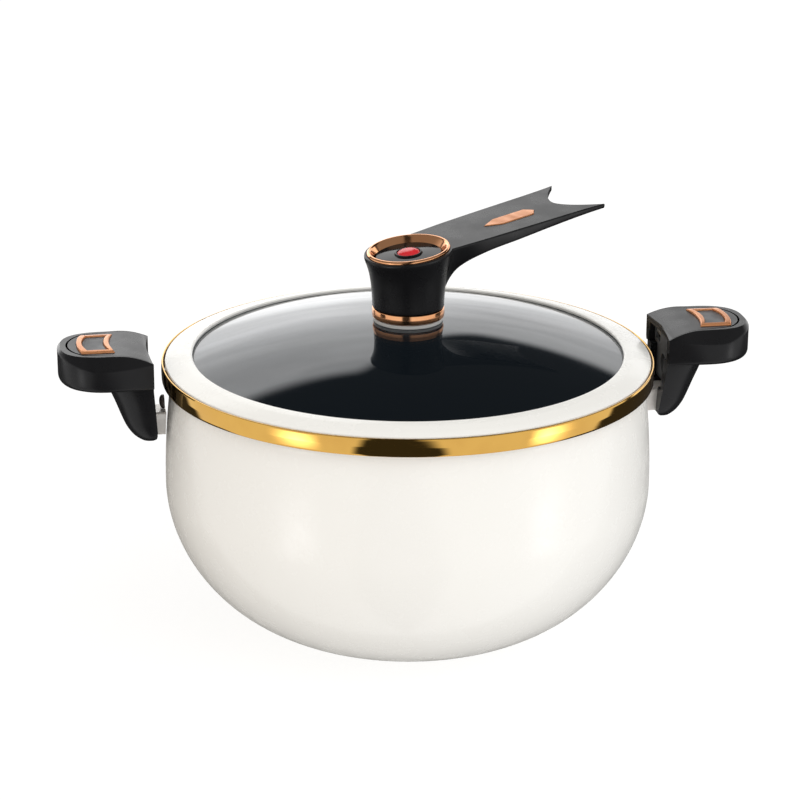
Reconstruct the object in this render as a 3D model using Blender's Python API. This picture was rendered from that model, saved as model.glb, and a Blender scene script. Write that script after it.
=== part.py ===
"""A low-pressure canner: an enamelled belly pot with two side handles, a glass lid with a
gold band, a knob with a flat rest arm, and sliding latches in the handles.

Lengths are in millimetres here and become metres in add_mesh. +Z is up, the handles lie
along X and the pot stands on z = 0.
"""

import math

import bmesh
import bpy
from mathutils import Vector

MM = 0.001

# Pot
RIM = 167.0  # height of the lid band's top edge, which most heights are measured from
BASE_R = 52.7
BELLY_R = 144.4
BELLY_Z = RIM - 74.6
NECK_R = 140.0
NECK_Z = RIM - 12.0
FLANGE_R = 143.1
FLANGE_TOP = RIM - 5.2
WALL = 2.5
LOWER_POWER = 1.91  # exponent of the lower quarter's superellipse
POT_BOTTOM = 1.2
TURN = 48  # segments round the pot and the lid

# Lid
BAND_R = 145.4
BAND_H = 10.4
GLASS_WINDOW_R = 127.0
GLASS_CROWN = RIM + 22.6
GLASS_BALL_R = 402.0
GLASS_T = 4.0
GLASS_EDGE_R = 131.2

# Knob and rest arm
ARM_TURN = math.radians(25.5)
ARM_RISE = 0.1175
KNOB_PLANE = RIM + 65.9
KNOB_TOP = RIM + 64.4
KNOB_FOOT = RIM + 30.9
ARM_END = 126.0
NOTCH_DEPTH = 19.0
KNOB_TURN = 28
BEZEL_R = 24.3
BUTTON_R = 19.3
DOME_R = 6.8

# Side handles, in a local frame whose x runs out from the pot's axis
GRIP_IN_X = 151.4
GRIP_IN_W = 27.5
GRIP_IN_R = 153.8
GRIP_OUT_X = 205.4
GRIP_WIDE_X = 176.0
GRIP_WIDE_W = 31.5
GRIP_BOTTOM = RIM - 5.0
PLATEAU = RIM + 15.2
GRIP_IN_TOP = RIM + 10.4
COVER_FLOOR = RIM + 8.8
LEG_BOTTOM = RIM - 41.6
GAP = 0.3

BLACK = ("black_phenolic", (0.022, 0.022, 0.024), 0.45, 0.0)
GREY = ("grey_nylon", (0.075, 0.077, 0.08), 0.55, 0.0)
ENAMEL = ("cream_enamel", (0.86, 0.83, 0.77), 0.12, 0.0)
GOLD = ("gold_steel", (0.83, 0.6, 0.26), 0.12, 1.0)
ROSE = ("rose_gold", (0.86, 0.5, 0.34), 0.16, 1.0)
STEEL = ("stainless_steel", (0.62, 0.62, 0.61), 0.28, 1.0)
GLASS = ("smoked_glass", (0.05, 0.055, 0.06), 0.03, 0.0)
SILICONE = ("grey_silicone", (0.62, 0.62, 0.6), 0.5, 0.0)
RUBBER = ("brown_rubber", (0.11, 0.09, 0.08), 0.6, 0.0)
GLOSS = ("gloss_black", (0.008, 0.008, 0.009), 0.08, 0.0)
RED = ("red_button", (0.72, 0.03, 0.04), 0.2, 0.0)
BRACKET = ("bracket_steel", (0.72, 0.7, 0.67), 0.3, 1.0)


def material(finish):
    name, colour, roughness, metallic = finish
    found = bpy.data.materials.get(name)
    if found:
        return found
    made = bpy.data.materials.new(name)
    made.use_nodes = True
    shader = made.node_tree.nodes["Principled BSDF"]
    shader.inputs["Base Color"].default_value = (*colour, 1.0)
    shader.inputs["Roughness"].default_value = roughness
    shader.inputs["Metallic"].default_value = metallic
    return made


def add_mesh(name, bm, finish):
    """Closes the bmesh, whose points are in millimetres, into an object in metres."""
    bmesh.ops.remove_doubles(bm, verts=bm.verts, dist=1e-4)
    bmesh.ops.recalc_face_normals(bm, faces=bm.faces)
    bmesh.ops.scale(bm, vec=(MM, MM, MM), verts=bm.verts)
    mesh = bpy.data.meshes.new(name)
    bm.to_mesh(mesh)
    bm.free()
    obj = bpy.data.objects.new(name, mesh)
    bpy.context.scene.collection.objects.link(obj)
    if finish:
        mesh.materials.append(material(finish))
    else:
        obj.hide_render = True
        obj.display_type = "WIRE"
    return obj


def lean(points, weight=1.0):
    """Lifts points towards the rest arm, the way the knob's sloping top does."""
    cos, sin = math.cos(ARM_TURN), math.sin(ARM_TURN)
    return [
        (x, y, z + weight * ARM_RISE * (x * cos + y * sin)) for x, y, z in points
    ]


def revolve(name, profile, finish, steps=KNOB_TURN, leaning=False, at=(0.0, 0.0)):
    """Turns a profile of (radius, height) about the vertical through at."""
    bm = bmesh.new()
    points = [bm.verts.new((r, 0.0, z)) for r, z in profile]
    edges = [bm.edges.new(pair) for pair in zip(points, points[1:])]
    if profile[0][0] > 0.0:
        edges.append(bm.edges.new((points[-1], points[0])))
    bmesh.ops.spin(
        bm,
        geom=points + edges,
        axis=(0.0, 0.0, 1.0),
        cent=(0.0, 0.0, 0.0),
        angle=2.0 * math.pi,
        steps=steps,
        use_merge=True,
    )
    if leaning:
        for vert in bm.verts:
            vert.co = lean([tuple(vert.co)])[0]
    bmesh.ops.translate(bm, vec=(at[0], at[1], 0.0), verts=bm.verts)
    return add_mesh(name, bm, finish)


def bridge(bm, first, second):
    count = len(first)
    for i in range(count):
        j = (i + 1) % count
        bm.faces.new((first[i], first[j], second[j], second[i]))


def loft(name, loops, finish, ring=False, cap_last=True):
    """Skins closed loops of points. A ring joins its last loop to its first."""
    bm = bmesh.new()
    rows = [[bm.verts.new(p) for p in loop] for loop in loops]
    for first, second in zip(rows, rows[1:]):
        bridge(bm, first, second)
    if ring:
        bridge(bm, rows[-1], rows[0])
    else:
        bm.faces.new(rows[0])
        if cap_last:
            bm.faces.new(rows[-1])
    return add_mesh(name, bm, finish)


def prism(name, outline, low, high, finish):
    """An upright solid on a plan outline of (x, y)."""
    loops = [[(x, y, z) for x, y in outline] for z in (low, high)]
    return loft(name, loops, finish)


def block(name, low, high, finish=None):
    outline = [(low[0], low[1]), (high[0], low[1]), (high[0], high[1]), (low[0], high[1])]
    return prism(name, outline, low[2], high[2], finish)


def combine(obj, other, operation="DIFFERENCE"):
    modifier = obj.modifiers.new(operation.title(), "BOOLEAN")
    modifier.operation = operation
    modifier.solver = "EXACT"
    modifier.object = other
    return obj


def sided(points, side):
    """Puts handle-frame points on the right (side 1) or, turned half round, the left (-1)."""
    return [(p[0] * side, p[1] * side, *p[2:]) for p in points]


# ---------------------------------------------------------------- pot


def pot_outer(count_low=10, count_high=3):
    """The outside from the foot up to the neck, as (radius, height)."""
    points = []
    for i in range(count_low + 1):
        a = 0.5 * math.pi * i / count_low
        r = BASE_R + (BELLY_R - BASE_R) * math.sin(a) ** (2.0 / LOWER_POWER)
        drop = (BELLY_Z - POT_BOTTOM) * math.cos(a) ** (2.0 / LOWER_POWER)
        points.append((r, BELLY_Z - drop))
    for i in range(1, count_high + 1):
        t = i / count_high
        r = BELLY_R - (BELLY_R - NECK_R) * t**2
        points.append((r, BELLY_Z + (NECK_Z - BELLY_Z) * t))
    return points


def inset(points, distance):
    """The open profile moved inwards, square to itself."""
    moved = []
    for i, (r, z) in enumerate(points):
        before = points[max(i - 1, 0)]
        after = points[min(i + 1, len(points) - 1)]
        along = Vector((after[0] - before[0], after[1] - before[1])).normalized()
        moved.append((r - distance * along.y, z + distance * along.x))
    return moved


def build_pot():
    outer = pot_outer()
    inner = inset(outer, WALL)
    inner[0] = (BASE_R - 0.6, POT_BOTTOM + WALL)
    inner = inner[:8:2] + inner[9:]
    rim = [
        (141.2, RIM - 9.0),
        (FLANGE_R, RIM - 7.6),
        (FLANGE_R, RIM - 5.9),
        (FLANGE_R - 0.8, FLANGE_TOP),
        (138.6, FLANGE_TOP),
        (NECK_R - WALL, RIM - 6.6),
    ]
    profile = [(0.0, POT_BOTTOM), *outer, *rim, *reversed(inner)]
    profile.append((0.0, POT_BOTTOM + WALL))
    revolve("pot_body", profile, ENAMEL, TURN)
    disc = [(0.0, 0.0), (49.4, 0.0), (50.0, 0.4), (50.0, 0.9), (0.0, 0.9)]
    revolve("base_plate", disc, STEEL, TURN)


# ---------------------------------------------------------------- lid


def glass_height(r, below=0.0):
    ball = GLASS_BALL_R - below
    return GLASS_CROWN - below - (ball - math.sqrt(ball * ball - r * r))


def build_lid_rings():
    frame = [
        (GLASS_WINDOW_R, RIM + 3.4),
        (GLASS_WINDOW_R + 0.7, RIM + 4.1),
        (133.0, RIM + 3.5),
        (139.0, RIM + 1.8),
        (143.2, RIM + 0.4),
        (143.6, RIM - 0.2),
        (143.6, RIM - 2.6),
        (133.2, RIM - 2.6),
        (133.2, RIM + 1.7),
        (GLASS_WINDOW_R, RIM + 2.75),
    ]
    revolve("lid_frame", frame, ENAMEL, TURN)
    band = [
        (144.9, RIM),
        (145.2, RIM - 0.5),
        (BAND_R, RIM - BAND_H + 0.6),
        (145.0, RIM - BAND_H),
        (144.5, RIM - BAND_H),
        (143.9, RIM - 0.6),
        (144.3, RIM),
    ]
    revolve("lid_band", band, GOLD, TURN)
    gasket = [
        (142.2, RIM - 2.9),
        (142.2, RIM - 4.9),
        (135.6, RIM - 4.9),
        (134.2, RIM - 6.2),
        (133.4, RIM - 5.6),
        (134.6, RIM - 2.9),
    ]
    revolve("lid_gasket", gasket, SILICONE, TURN)
    seal = [
        (132.9, RIM + 1.3),
        (132.9, RIM - 5.3),
        (127.8, RIM - 4.0),
        (127.8, RIM - 2.9),
        (131.6, RIM - 4.3),
        (131.6, RIM + 1.5),
    ]
    revolve("glass_seal", seal, SILICONE, TURN)


def build_glass():
    hole = 7.2
    radii = [hole, 45.0, 78.0, 106.0, GLASS_EDGE_R]
    top = [(r, glass_height(r)) for r in radii]
    bottom = [(r, glass_height(r, GLASS_T)) for r in reversed(radii)]
    revolve("glass_dome", top + bottom, GLASS, TURN)


def build_lid_stack():
    """The washers, tube and nut that clamp the knob to the glass."""
    top = GLASS_CROWN
    washer = [(20.4, top + GAP), (20.4, top + 1.7), (7.2, top + 1.7), (7.2, top + GAP)]
    revolve("upper_washer", washer, SILICONE)
    foot = KNOB_FOOT - GAP
    collar = [
        (20.4, foot),
        (21.2, foot - 0.5),
        (21.4, foot - 3.0),
        (21.2, foot - 5.3),
        (20.4, foot - 5.8),
        (7.2, foot - 5.8),
        (7.2, foot),
    ]
    revolve("knob_collar", collar, ROSE)
    tube = [
        (10.0, RIM + 40.2),
        (10.0, RIM + 36.8),
        (6.6, RIM + 36.8),
        (6.6, RIM + 8.6),
        (4.4, RIM + 8.6),
        (4.4, RIM + 40.2),
    ]
    revolve("valve_tube", tube, STEEL, 24)
    under = top - GLASS_T - GAP
    pad = [(15.0, under - 0.3), (15.0, under - 2.2), (7.0, under - 2.2), (7.0, under)]
    revolve("lower_washer", pad, SILICONE, 20)
    build_nut(under - 7.2, under - 2.6)
    build_guard(under - 2.7)


def build_nut(low, high, flats=10.8, bore=6.95, count=24):
    loops = []
    for reach, z in ((1, low), (1, high), (0, high), (0, low)):
        loop = []
        for i in range(count):
            a = 2.0 * math.pi * i / count
            off = (a + math.pi / 6.0) % (math.pi / 3.0) - math.pi / 6.0
            r = flats / math.cos(off) if reach else bore
            loop.append((r * math.cos(a), r * math.sin(a), z))
        loops.append(loop)
    loft("valve_nut", loops, STEEL, ring=True)


def build_guard(high):
    low = RIM - 3.5
    cup = [
        (14.8, high),
        (14.8, low + 1.0),
        (13.8, low),
        (3.0, low),
        (3.0, low + 1.2),
        (13.4, low + 1.2),
        (13.4, high),
    ]
    guard = revolve("valve_guard", cup, STEEL, 24)
    for i in range(3):
        a = math.pi * (i + 0.5) / 3.0
        along = Vector((math.cos(a), math.sin(a)))
        across = Vector((-along.y, along.x)) * 1.8
        corners = [along * 20 + across, along * -20 + across]
        corners += [along * -20 - across, along * 20 - across]
        slot = prism(f"slot_cutter_{i}", [tuple(c) for c in corners], low + 3.5, low + 9.0, None)
        combine(guard, slot)


# ---------------------------------------------------------------- knob


def turned(s, w):
    """Plan position of a point s along the rest arm and w across it."""
    cos, sin = math.cos(ARM_TURN), math.sin(ARM_TURN)
    return (s * cos + w * sin, s * sin - w * cos)


def circle(radius, height, weight, count=KNOB_TURN):
    loop = []
    for i in range(count):
        a = 2.0 * math.pi * i / count
        loop.append((radius * math.cos(a), radius * math.sin(a), height))
    return lean(loop, weight)


def drum_loops():
    heights = [
        (30.9, 20.5, 0.0),
        (31.6, 21.1, 0.0),
        (40.6, 21.6, 0.0),
        (49.8, 22.7, 0.25),
        (56.4, 24.1, 0.65),
        (60.9, 25.4, 0.95),
        (63.2, 25.9, 1.0),
        (64.1, 25.6, 1.0),
        (64.4, 25.1, 1.0),
    ]
    return [circle(r, RIM + z, lift) for z, r, lift in heights]


def arm_loops():
    """Sections of the rest arm from inside the drum to its tips.
    Each has its distance, the half widths of its top and foot, and its depth."""
    stations = [
        (6.0, 17.2, 22.2, 12.0, 12.5, 30.0),
        (12.0, 17.8, 22.8, 12.0, 12.5, 29.5),
        (17.0, 18.3, 23.3, 11.5, 12.0, 27.0),
        (21.0, 18.6, 23.6, 11.6, 12.6, 21.0),
        (25.0, 18.9, 23.9, 13.2, 15.0, 15.8),
        (31.0, 19.3, 24.3, 15.8, 18.8, 12.0),
        (39.0, 19.8, 24.8, 18.0, 22.2, 9.6),
        (50.0, 20.3, 25.2, 19.3, 24.2, 8.0),
        (66.0, 21.0, 25.7, 20.5, 25.2, 6.9),
        (86.0, 21.8, 26.2, 21.3, 25.7, 5.4),
        (106.0, 22.6, 26.7, 22.1, 26.2, 4.1),
        (118.0, 23.5, 27.3, 23.0, 26.8, 3.3),
        (ARM_END, 24.7, 28.1, 24.2, 27.6, 2.7),
    ]
    loops = []
    for s, near, far, near_foot, far_foot, t in stations:
        top = KNOB_TOP - 0.08 + ARM_RISE * s
        edge = 0.4 * min(t, 3.0)
        section = [
            (-far, top - edge),
            (-far + 0.8, top),
            (near - 0.8, top),
            (near, top - edge),
            (near_foot, top - t + edge),
            (near_foot - 1.5, top - t),
            (-far_foot + 1.5, top - t),
            (-far_foot, top - t + edge),
        ]
        loops.append([(*turned(s, across), z) for across, z in section])
    return loops


def notch_cutter():
    points = []
    for i in range(17):
        w = -31.0 + 58.6 * i / 16.0
        depth = NOTCH_DEPTH * (1.0 - min(abs(w + 1.7) / 25.9, 1.0) ** 1.7)
        points.append(turned(ARM_END + 0.1 - depth, w))
    points += [turned(ARM_END + 20.0, 27.6), turned(ARM_END + 20.0, -31.0)]
    return prism("notch_cutter", points, RIM + 45.0, RIM + 110.0, None)


def cavity_cutter():
    """The hollow for the valve, with a seat for the bezel that slopes like the top."""
    rings = [
        (6.9, 28.0, 0.0),
        (6.9, 36.5, 0.0),
        (17.6, 36.5, 0.0),
        (17.6, 50.4, 0.0),
        (20.3, 52.4, 0.3),
        (20.3, 60.4, 1.0),
        (24.6, 60.4, 1.0),
        (24.6, 76.4, 1.0),
    ]
    return loft("cavity_cutter", [circle(r, RIM + z, k) for r, z, k in rings], None)


def inlay_outline(grow):
    tip = 54.0 - 1.5 * grow
    end = 91.0 + 1.5 * grow
    w = 5.6 + grow
    return [
        (tip, 0.6),
        (64.0, -w + 0.6),
        (86.5, -w + 0.6),
        (end, 0.6),
        (86.5, w + 0.6),
        (64.0, w + 0.6),
    ]


def slab_on_arm(name, outline, low, high, finish):
    """A solid on an arm-frame outline, its faces parallel to the arm's top."""
    loops = []
    for level in (low, high):
        loops.append([(*turned(s, w), KNOB_TOP + level + ARM_RISE * s) for s, w in outline])
    return loft(name, loops, finish)


def build_knob():
    knob = loft("knob_handle", drum_loops(), BLACK)
    arm = loft("arm_blank", arm_loops(), None)
    combine(arm, notch_cutter())
    combine(knob, arm, "UNION")
    combine(knob, cavity_cutter())
    combine(knob, slab_on_arm("inlay_cutter", inlay_outline(GAP), -1.2, 4.0, None))
    slab_on_arm("arm_inlay", inlay_outline(0.0), -0.9, 0.5, ROSE)
    plane = KNOB_PLANE
    bezel = [
        (23.7, plane),
        (BEZEL_R, plane - 0.6),
        (BEZEL_R, plane - 5.2),
        (19.8, plane - 5.2),
        (19.8, plane - 3.7),
        (22.4, plane - 0.5),
        (22.9, plane),
    ]
    revolve("knob_bezel", bezel, ROSE, leaning=True)


def build_button():
    top = KNOB_PLANE - 3.4
    cap = [
        (BUTTON_R - 0.5, top),
        (BUTTON_R, top - 0.5),
        (BUTTON_R, top - 3.0),
        (2.4, top - 3.0),
        (2.4, top - 0.6),
        (8.0, top - 0.6),
        (8.6, top),
    ]
    revolve("vent_cap", cap, GLOSS, leaning=True)
    stem = [
        (4.0, RIM + 58.4),
        (4.0, RIM + 8.0),
        (2.3, RIM + 8.0),
        (2.3, RIM + 58.4),
    ]
    revolve("vent_stem", stem, STEEL, 16)
    plug = [(4.6, RIM + 7.7), (6.3, RIM + 6.6), (6.3, RIM + 4.6), (2.3, RIM + 4.6), (2.3, RIM + 7.7)]
    revolve("vent_plug", plug, SILICONE, 16)
    base = KNOB_PLANE - 3.7
    dome = [
        (0.0, RIM + 6.0),
        (1.8, RIM + 6.0),
        (1.8, base),
        (DOME_R - 0.2, base),
        (DOME_R, base + 0.5),
        (DOME_R - 0.9, base + 1.9),
        (DOME_R - 3.0, base + 3.0),
        (0.0, base + 3.4),
    ]
    revolve("pressure_indicator", dome, RED, 20, leaning=True)
    build_spring(RIM + 41.0, RIM + 57.6)


def build_spring(low, high, turns=4, mean=7.4, wire=0.65, around=5, per_turn=14):
    loops = []
    count = turns * per_turn
    for i in range(count + 1):
        a = 2.0 * math.pi * i / per_turn
        z = low + wire + (high - low - 2.0 * wire) * i / count
        loop = []
        for k in range(around):
            b = 2.0 * math.pi * k / around
            r = mean + wire * math.cos(b)
            loop.append((r * math.cos(a), r * math.sin(a), z + wire * math.sin(b)))
        loops.append(loop)
    loft("vent_spring", loops, STEEL)


# ---------------------------------------------------------------- side handles


def oval_side(out_x, in_w, wide_w, power=2.3, count=9):
    """Half a handle's plan outline, from its inner corner out to its middle."""
    points = []
    for i in range(4):
        t = i / 4.0
        w = in_w + (wide_w - in_w) * math.sin(0.5 * math.pi * t)
        points.append((GRIP_IN_X + (GRIP_WIDE_X - GRIP_IN_X) * t, w))
    for i in range(count + 1):
        a = 0.5 * math.pi * (1.0 - i / count)
        x = GRIP_WIDE_X + (out_x - GRIP_WIDE_X) * max(math.cos(a), 0.0) ** (2.0 / power)
        points.append((x, wide_w * math.sin(a) ** (2.0 / power)))
    points[-1] = (out_x, 0.0)
    return points


def inner_arc(half_width, count=6):
    """Points on the arc that faces the pot, from -y to +y, without its ends."""
    points = []
    for i in range(1, count):
        y = half_width * (2.0 * i / count - 1.0)
        points.append((math.sqrt(GRIP_IN_R**2 - y * y), y))
    return points


def closed_loop(half, heights, side, half_width):
    """Mirrors half an outline and closes it with the inner arc."""
    near = [(x, y, z) for (x, y), z in zip(half, heights)]
    far = [(x, -y, z) for x, y, z in reversed(near[:-1])]
    arc = [(x, y, heights[0]) for x, y in inner_arc(half_width)]
    return sided(near + far + arc, side)


def ramp(x):
    """Height of the handle's top: level over the trim, falling towards the pot."""
    t = min(max((x - GRIP_IN_X) / 19.0, 0.0), 1.0)
    return GRIP_IN_TOP + (PLATEAU - GRIP_IN_TOP) * t * (2.0 - t)


def wall_edge_heights(half):
    """Height of the crease between the side wall and the shoulder, per outline point."""
    last = len(half) - 1
    heights = []
    for i, (x, _) in enumerate(half):
        dip = math.sin(math.pi * min(i / 7.0, 1.0) * 0.5)
        rise = max((x - GRIP_WIDE_X - 9.0) / (GRIP_OUT_X - GRIP_WIDE_X - 9.0), 0.0)
        z = GRIP_IN_TOP - 0.4 - 1.9 * dip + 5.4 * rise
        heights.append(z)
    heights[last] = PLATEAU - 1.7
    return heights


def grip_mesh(bm, side):
    """The grip without its pocket: rounded underside, wall, sloping shoulders, plateau."""
    rows = []
    for inward, height in ((4.0, 0.0), (1.2, 1.2), (0.0, 4.0)):
        half = oval_side(GRIP_OUT_X - inward, GRIP_IN_W - 0.4 * inward, GRIP_WIDE_W - inward)
        level = [GRIP_BOTTOM + height] * len(half)
        rows.append(closed_loop(half, level, side, GRIP_IN_W - 0.4 * inward))
    wall = oval_side(GRIP_OUT_X, GRIP_IN_W, GRIP_WIDE_W)
    rows.append(closed_loop(wall, wall_edge_heights(wall), side, GRIP_IN_W))
    crease = oval_side(GRIP_OUT_X - 1.8, GRIP_IN_W - 0.5, 24.2, power=2.7)
    crease[1:4] = [(GRIP_IN_X + 5.7, 26.2), (GRIP_IN_X + 11.4, 25.3), (GRIP_IN_X + 17.1, 24.6)]
    top = closed_loop(crease, [ramp(x) for x, _ in crease], side, GRIP_IN_W - 0.5)
    rows.append(top)
    made = [[bm.verts.new(p) for p in row] for row in rows]
    for first, second in zip(made, made[1:]):
        bridge(bm, first, second)
    bm.faces.new(made[0])
    cap_strips(bm, made[-1], len(crease))


def cap_strips(bm, loop, half_count):
    """Closes the top with strips from one side to the other, so that it keeps its slope."""
    near = loop[:half_count]
    far = loop[half_count - 1 : 2 * half_count - 1][::-1]
    arc = loop[2 * half_count - 1 :]
    bm.faces.new([near[1], near[0], *reversed(arc), far[0], far[1]])
    for i in range(1, half_count - 2):
        bm.faces.new((near[i], near[i + 1], far[i + 1], far[i]))
    bm.faces.new((near[-2], near[-1], far[-2]))


def grip_solid(name, side, finish):
    bm = bmesh.new()
    grip_mesh(bm, side)
    return add_mesh(name, bm, finish)


def cover_outline(grow, inner_x=None):
    """Plan of the sliding cover. With inner_x it runs straight in to there instead."""
    sides = [(GRIP_IN_X + 0.1, 26.2 + grow), (162.0, 24.3 + grow), (172.0, 22.8 + grow)]
    arc = []
    centre, radius = 175.0, 24.3 + (0.9 if grow else 0.0)
    for i in range(9):
        a = math.radians(51.0) * (1.0 - i / 4.0)
        arc.append((centre + radius * math.cos(a), radius * math.sin(a)))
    far = [(x, -y) for x, y in reversed(sides)]
    if inner_x is None:
        return sides + arc + far + inner_arc(26.2)
    return [(inner_x, 26.2 + grow)] + sides + arc + far + [(inner_x, -26.2 - grow)]


def leg_loops(side):
    """Sections of the leg below the grip, from inside the grip down to its toe.
    Each has its drop, its lean towards the pot, its depth and its half width."""
    levels = [
        (2.0, 0.0, 26.6, 24.5),
        (-6.0, 0.0, 25.4, 24.2),
        (-13.0, 0.5, 22.8, 22.8),
        (-20.0, 1.0, 20.0, 20.8),
        (-27.0, 1.5, 17.4, 18.8),
        (-33.0, 1.9, 14.9, 17.0),
        (-37.6, 2.0, 12.0, 15.0),
        (-40.2, 1.4, 9.4, 13.2),
        (-41.6, -0.6, 7.0, 11.4),
    ]
    loops = []
    for drop, lean_in, depth, w in levels:
        inner = GRIP_IN_X + 0.2 - lean_in
        loop = [(inner, w, RIM + drop)]
        for i in range(9):
            a = math.pi * i / 8.0
            x = inner + 1.0 + (depth + lean_in) * math.sin(a) ** 0.85
            y = w * math.copysign(abs(math.cos(a)) ** 0.75, math.cos(a))
            loop.append((x, y, RIM + drop))
        loop.append((inner, -w, RIM + drop))
        loops.append(sided(loop, side))
    return loops


def build_handle(tag, side):
    handle = grip_solid(f"handle_{tag}", side, BLACK)
    combine(handle, loft(f"leg_blank_{tag}", leg_loops(side), None), "UNION")
    pocket = sided(cover_outline(GAP, inner_x=140.0), side)
    combine(handle, prism(f"pocket_cutter_{tag}", pocket, COVER_FLOOR, RIM + 30.0, None))
    for i, (low, high) in enumerate(handle_hollows()):
        corners = sided([low, high], side)
        low = tuple(min(a, b) for a, b in zip(*corners))
        high = tuple(max(a, b) for a, b in zip(*corners))
        combine(handle, block(f"hollow_cutter_{tag}_{i}", low, high))
    build_inner_plate(tag, side)
    build_cover(tag, side)


def handle_hollows():
    """Boxes cut from the handle: latch spaces, screw slot, leg space, bracket socket."""
    return [
        ((138.0, -21.4, RIM - 4.2), (172.0, 21.4, RIM + 6.8)),
        ((165.0, -21.3, RIM - 0.6), (186.5, 21.3, RIM + 6.7)),
        ((163.7, -2.6, RIM + 6.0), (182.0, 2.6, RIM + 12.0)),
        ((138.0, -15.0, RIM - 24.0), (162.0, 15.0, RIM - 4.0)),
        ((138.0, -8.8, RIM - 39.5), (159.5, 8.8, RIM - 23.6)),
    ]


def build_inner_plate(tag, side):
    """The grey insert in the leg's inner face, with its latch and screw openings."""
    x0, x1 = 155.2, 157.4
    outline = [(-21.0, RIM + 6.4), (21.0, RIM + 6.4), (21.0, RIM - 3.9), (14.6, RIM - 3.9)]
    outline += [(14.6, RIM - 23.6), (-14.6, RIM - 23.6), (-14.6, RIM - 3.9), (-21.0, RIM - 3.9)]
    loops = [sided([(x, y, z) for y, z in outline], side) for x in (x0, x1)]
    plate = loft(f"handle_insert_{tag}", loops, GREY)
    for i, y in enumerate((-18.9, 7.9)):
        low, high = sided([(x0 - 3, y, RIM - 1.6), (x1 + 3, y + 11.0, RIM + 5.3)], side)
        ends = list(zip(low, high))
        cutter = block(
            f"window_cutter_{tag}_{i}", tuple(map(min, ends)), tuple(map(max, ends))
        )
        combine(plate, cutter)
    ring = []
    for i in range(14):
        a = 2.0 * math.pi * i / 14
        ring.append((5.4 * math.cos(a), RIM - 12.5 + 6.2 * math.sin(a)))
    loops = [sided([(x, y, z) for y, z in ring], side) for x in (x0 - 3, x1 + 3)]
    combine(plate, loft(f"hole_cutter_{tag}", loops, None))


def build_cover(tag, side):
    """The sliding cover, cut from the same solid as the grip so that they are flush."""
    cover = grip_solid(f"latch_cover_{tag}", side, BLACK)
    keep = sided(cover_outline(0.0), side)
    keeper = prism(f"cover_keeper_{tag}", keep, COVER_FLOOR + GAP, RIM + 30.0, None)
    combine(cover, keeper, "INTERSECT")
    seat = sided(frame_outline(GAP), side)
    combine(cover, prism(f"seat_cutter_{tag}", seat, PLATEAU - 1.1, RIM + 30.0, None))
    build_trim(tag, side)
    build_tongue(tag, side)


def frame_outline(grow, count=6):
    """Plan of the trim frame: two arcs that bulge away from the pot, straight sides."""
    w = 16.6 + grow
    bulge = 2.6
    outer = []
    inner = []
    for i in range(count + 1):
        y = w * (1.0 - 2.0 * i / count)
        swell = bulge * (1.0 - (y / w) ** 2)
        outer.append((191.6 + grow + swell, y))
        inner.append((172.9 - grow + swell, -y))
    return outer + inner


def build_trim(tag, side):
    levels = [
        (0.0, PLATEAU - 0.8),
        (0.0, PLATEAU + 0.9),
        (-0.5, PLATEAU + 1.5),
        (-2.2, PLATEAU + 1.5),
        (-2.6, PLATEAU + 0.9),
        (-2.6, PLATEAU - 0.8),
    ]
    loops = []
    for grow, z in levels:
        loops.append(sided([(x, y, z) for x, y in frame_outline(grow)], side))
    loft(f"latch_trim_{tag}", loops, ROSE, ring=True)
    pad = sided(frame_outline(-2.6 - GAP), side)
    prism(f"latch_pad_{tag}", pad, PLATEAU - 0.8, PLATEAU + 0.4, GREY)


def build_tongue(tag, side):
    """The steel slide under the cover: two prongs on a bar, held by one screw."""
    outline = [
        (183.5, -18.5),
        (183.5, 18.5),
        (156.5, 18.5),
        (155.5, 17.6),
        (155.5, 9.2),
        (156.5, 8.3),
        (175.5, 8.3),
        (175.5, -8.3),
        (156.5, -8.3),
        (155.5, -9.2),
        (155.5, -17.6),
        (156.5, -18.5),
    ]
    tongue = prism(f"latch_tongue_{tag}", sided(outline, side), RIM + 2.2, RIM + 4.6, STEEL)
    x = 179.4 * side
    hole = revolve(f"tongue_hole_{tag}", [(0.0, RIM), (2.2, RIM), (2.2, RIM + 8), (0.0, RIM + 8)],
                   None, 12, at=(x, 0.0))
    combine(tongue, hole)
    screw = [
        (0.0, RIM + 0.2),
        (3.6, RIM + 0.2),
        (3.9, RIM + 0.6),
        (3.9, RIM + 1.9),
        (1.9, RIM + 1.9),
        (1.9, RIM + 8.7),
        (0.0, RIM + 8.7),
    ]
    revolve(f"latch_screw_{tag}", screw, STEEL, 12, at=(x, 0.0))


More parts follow.
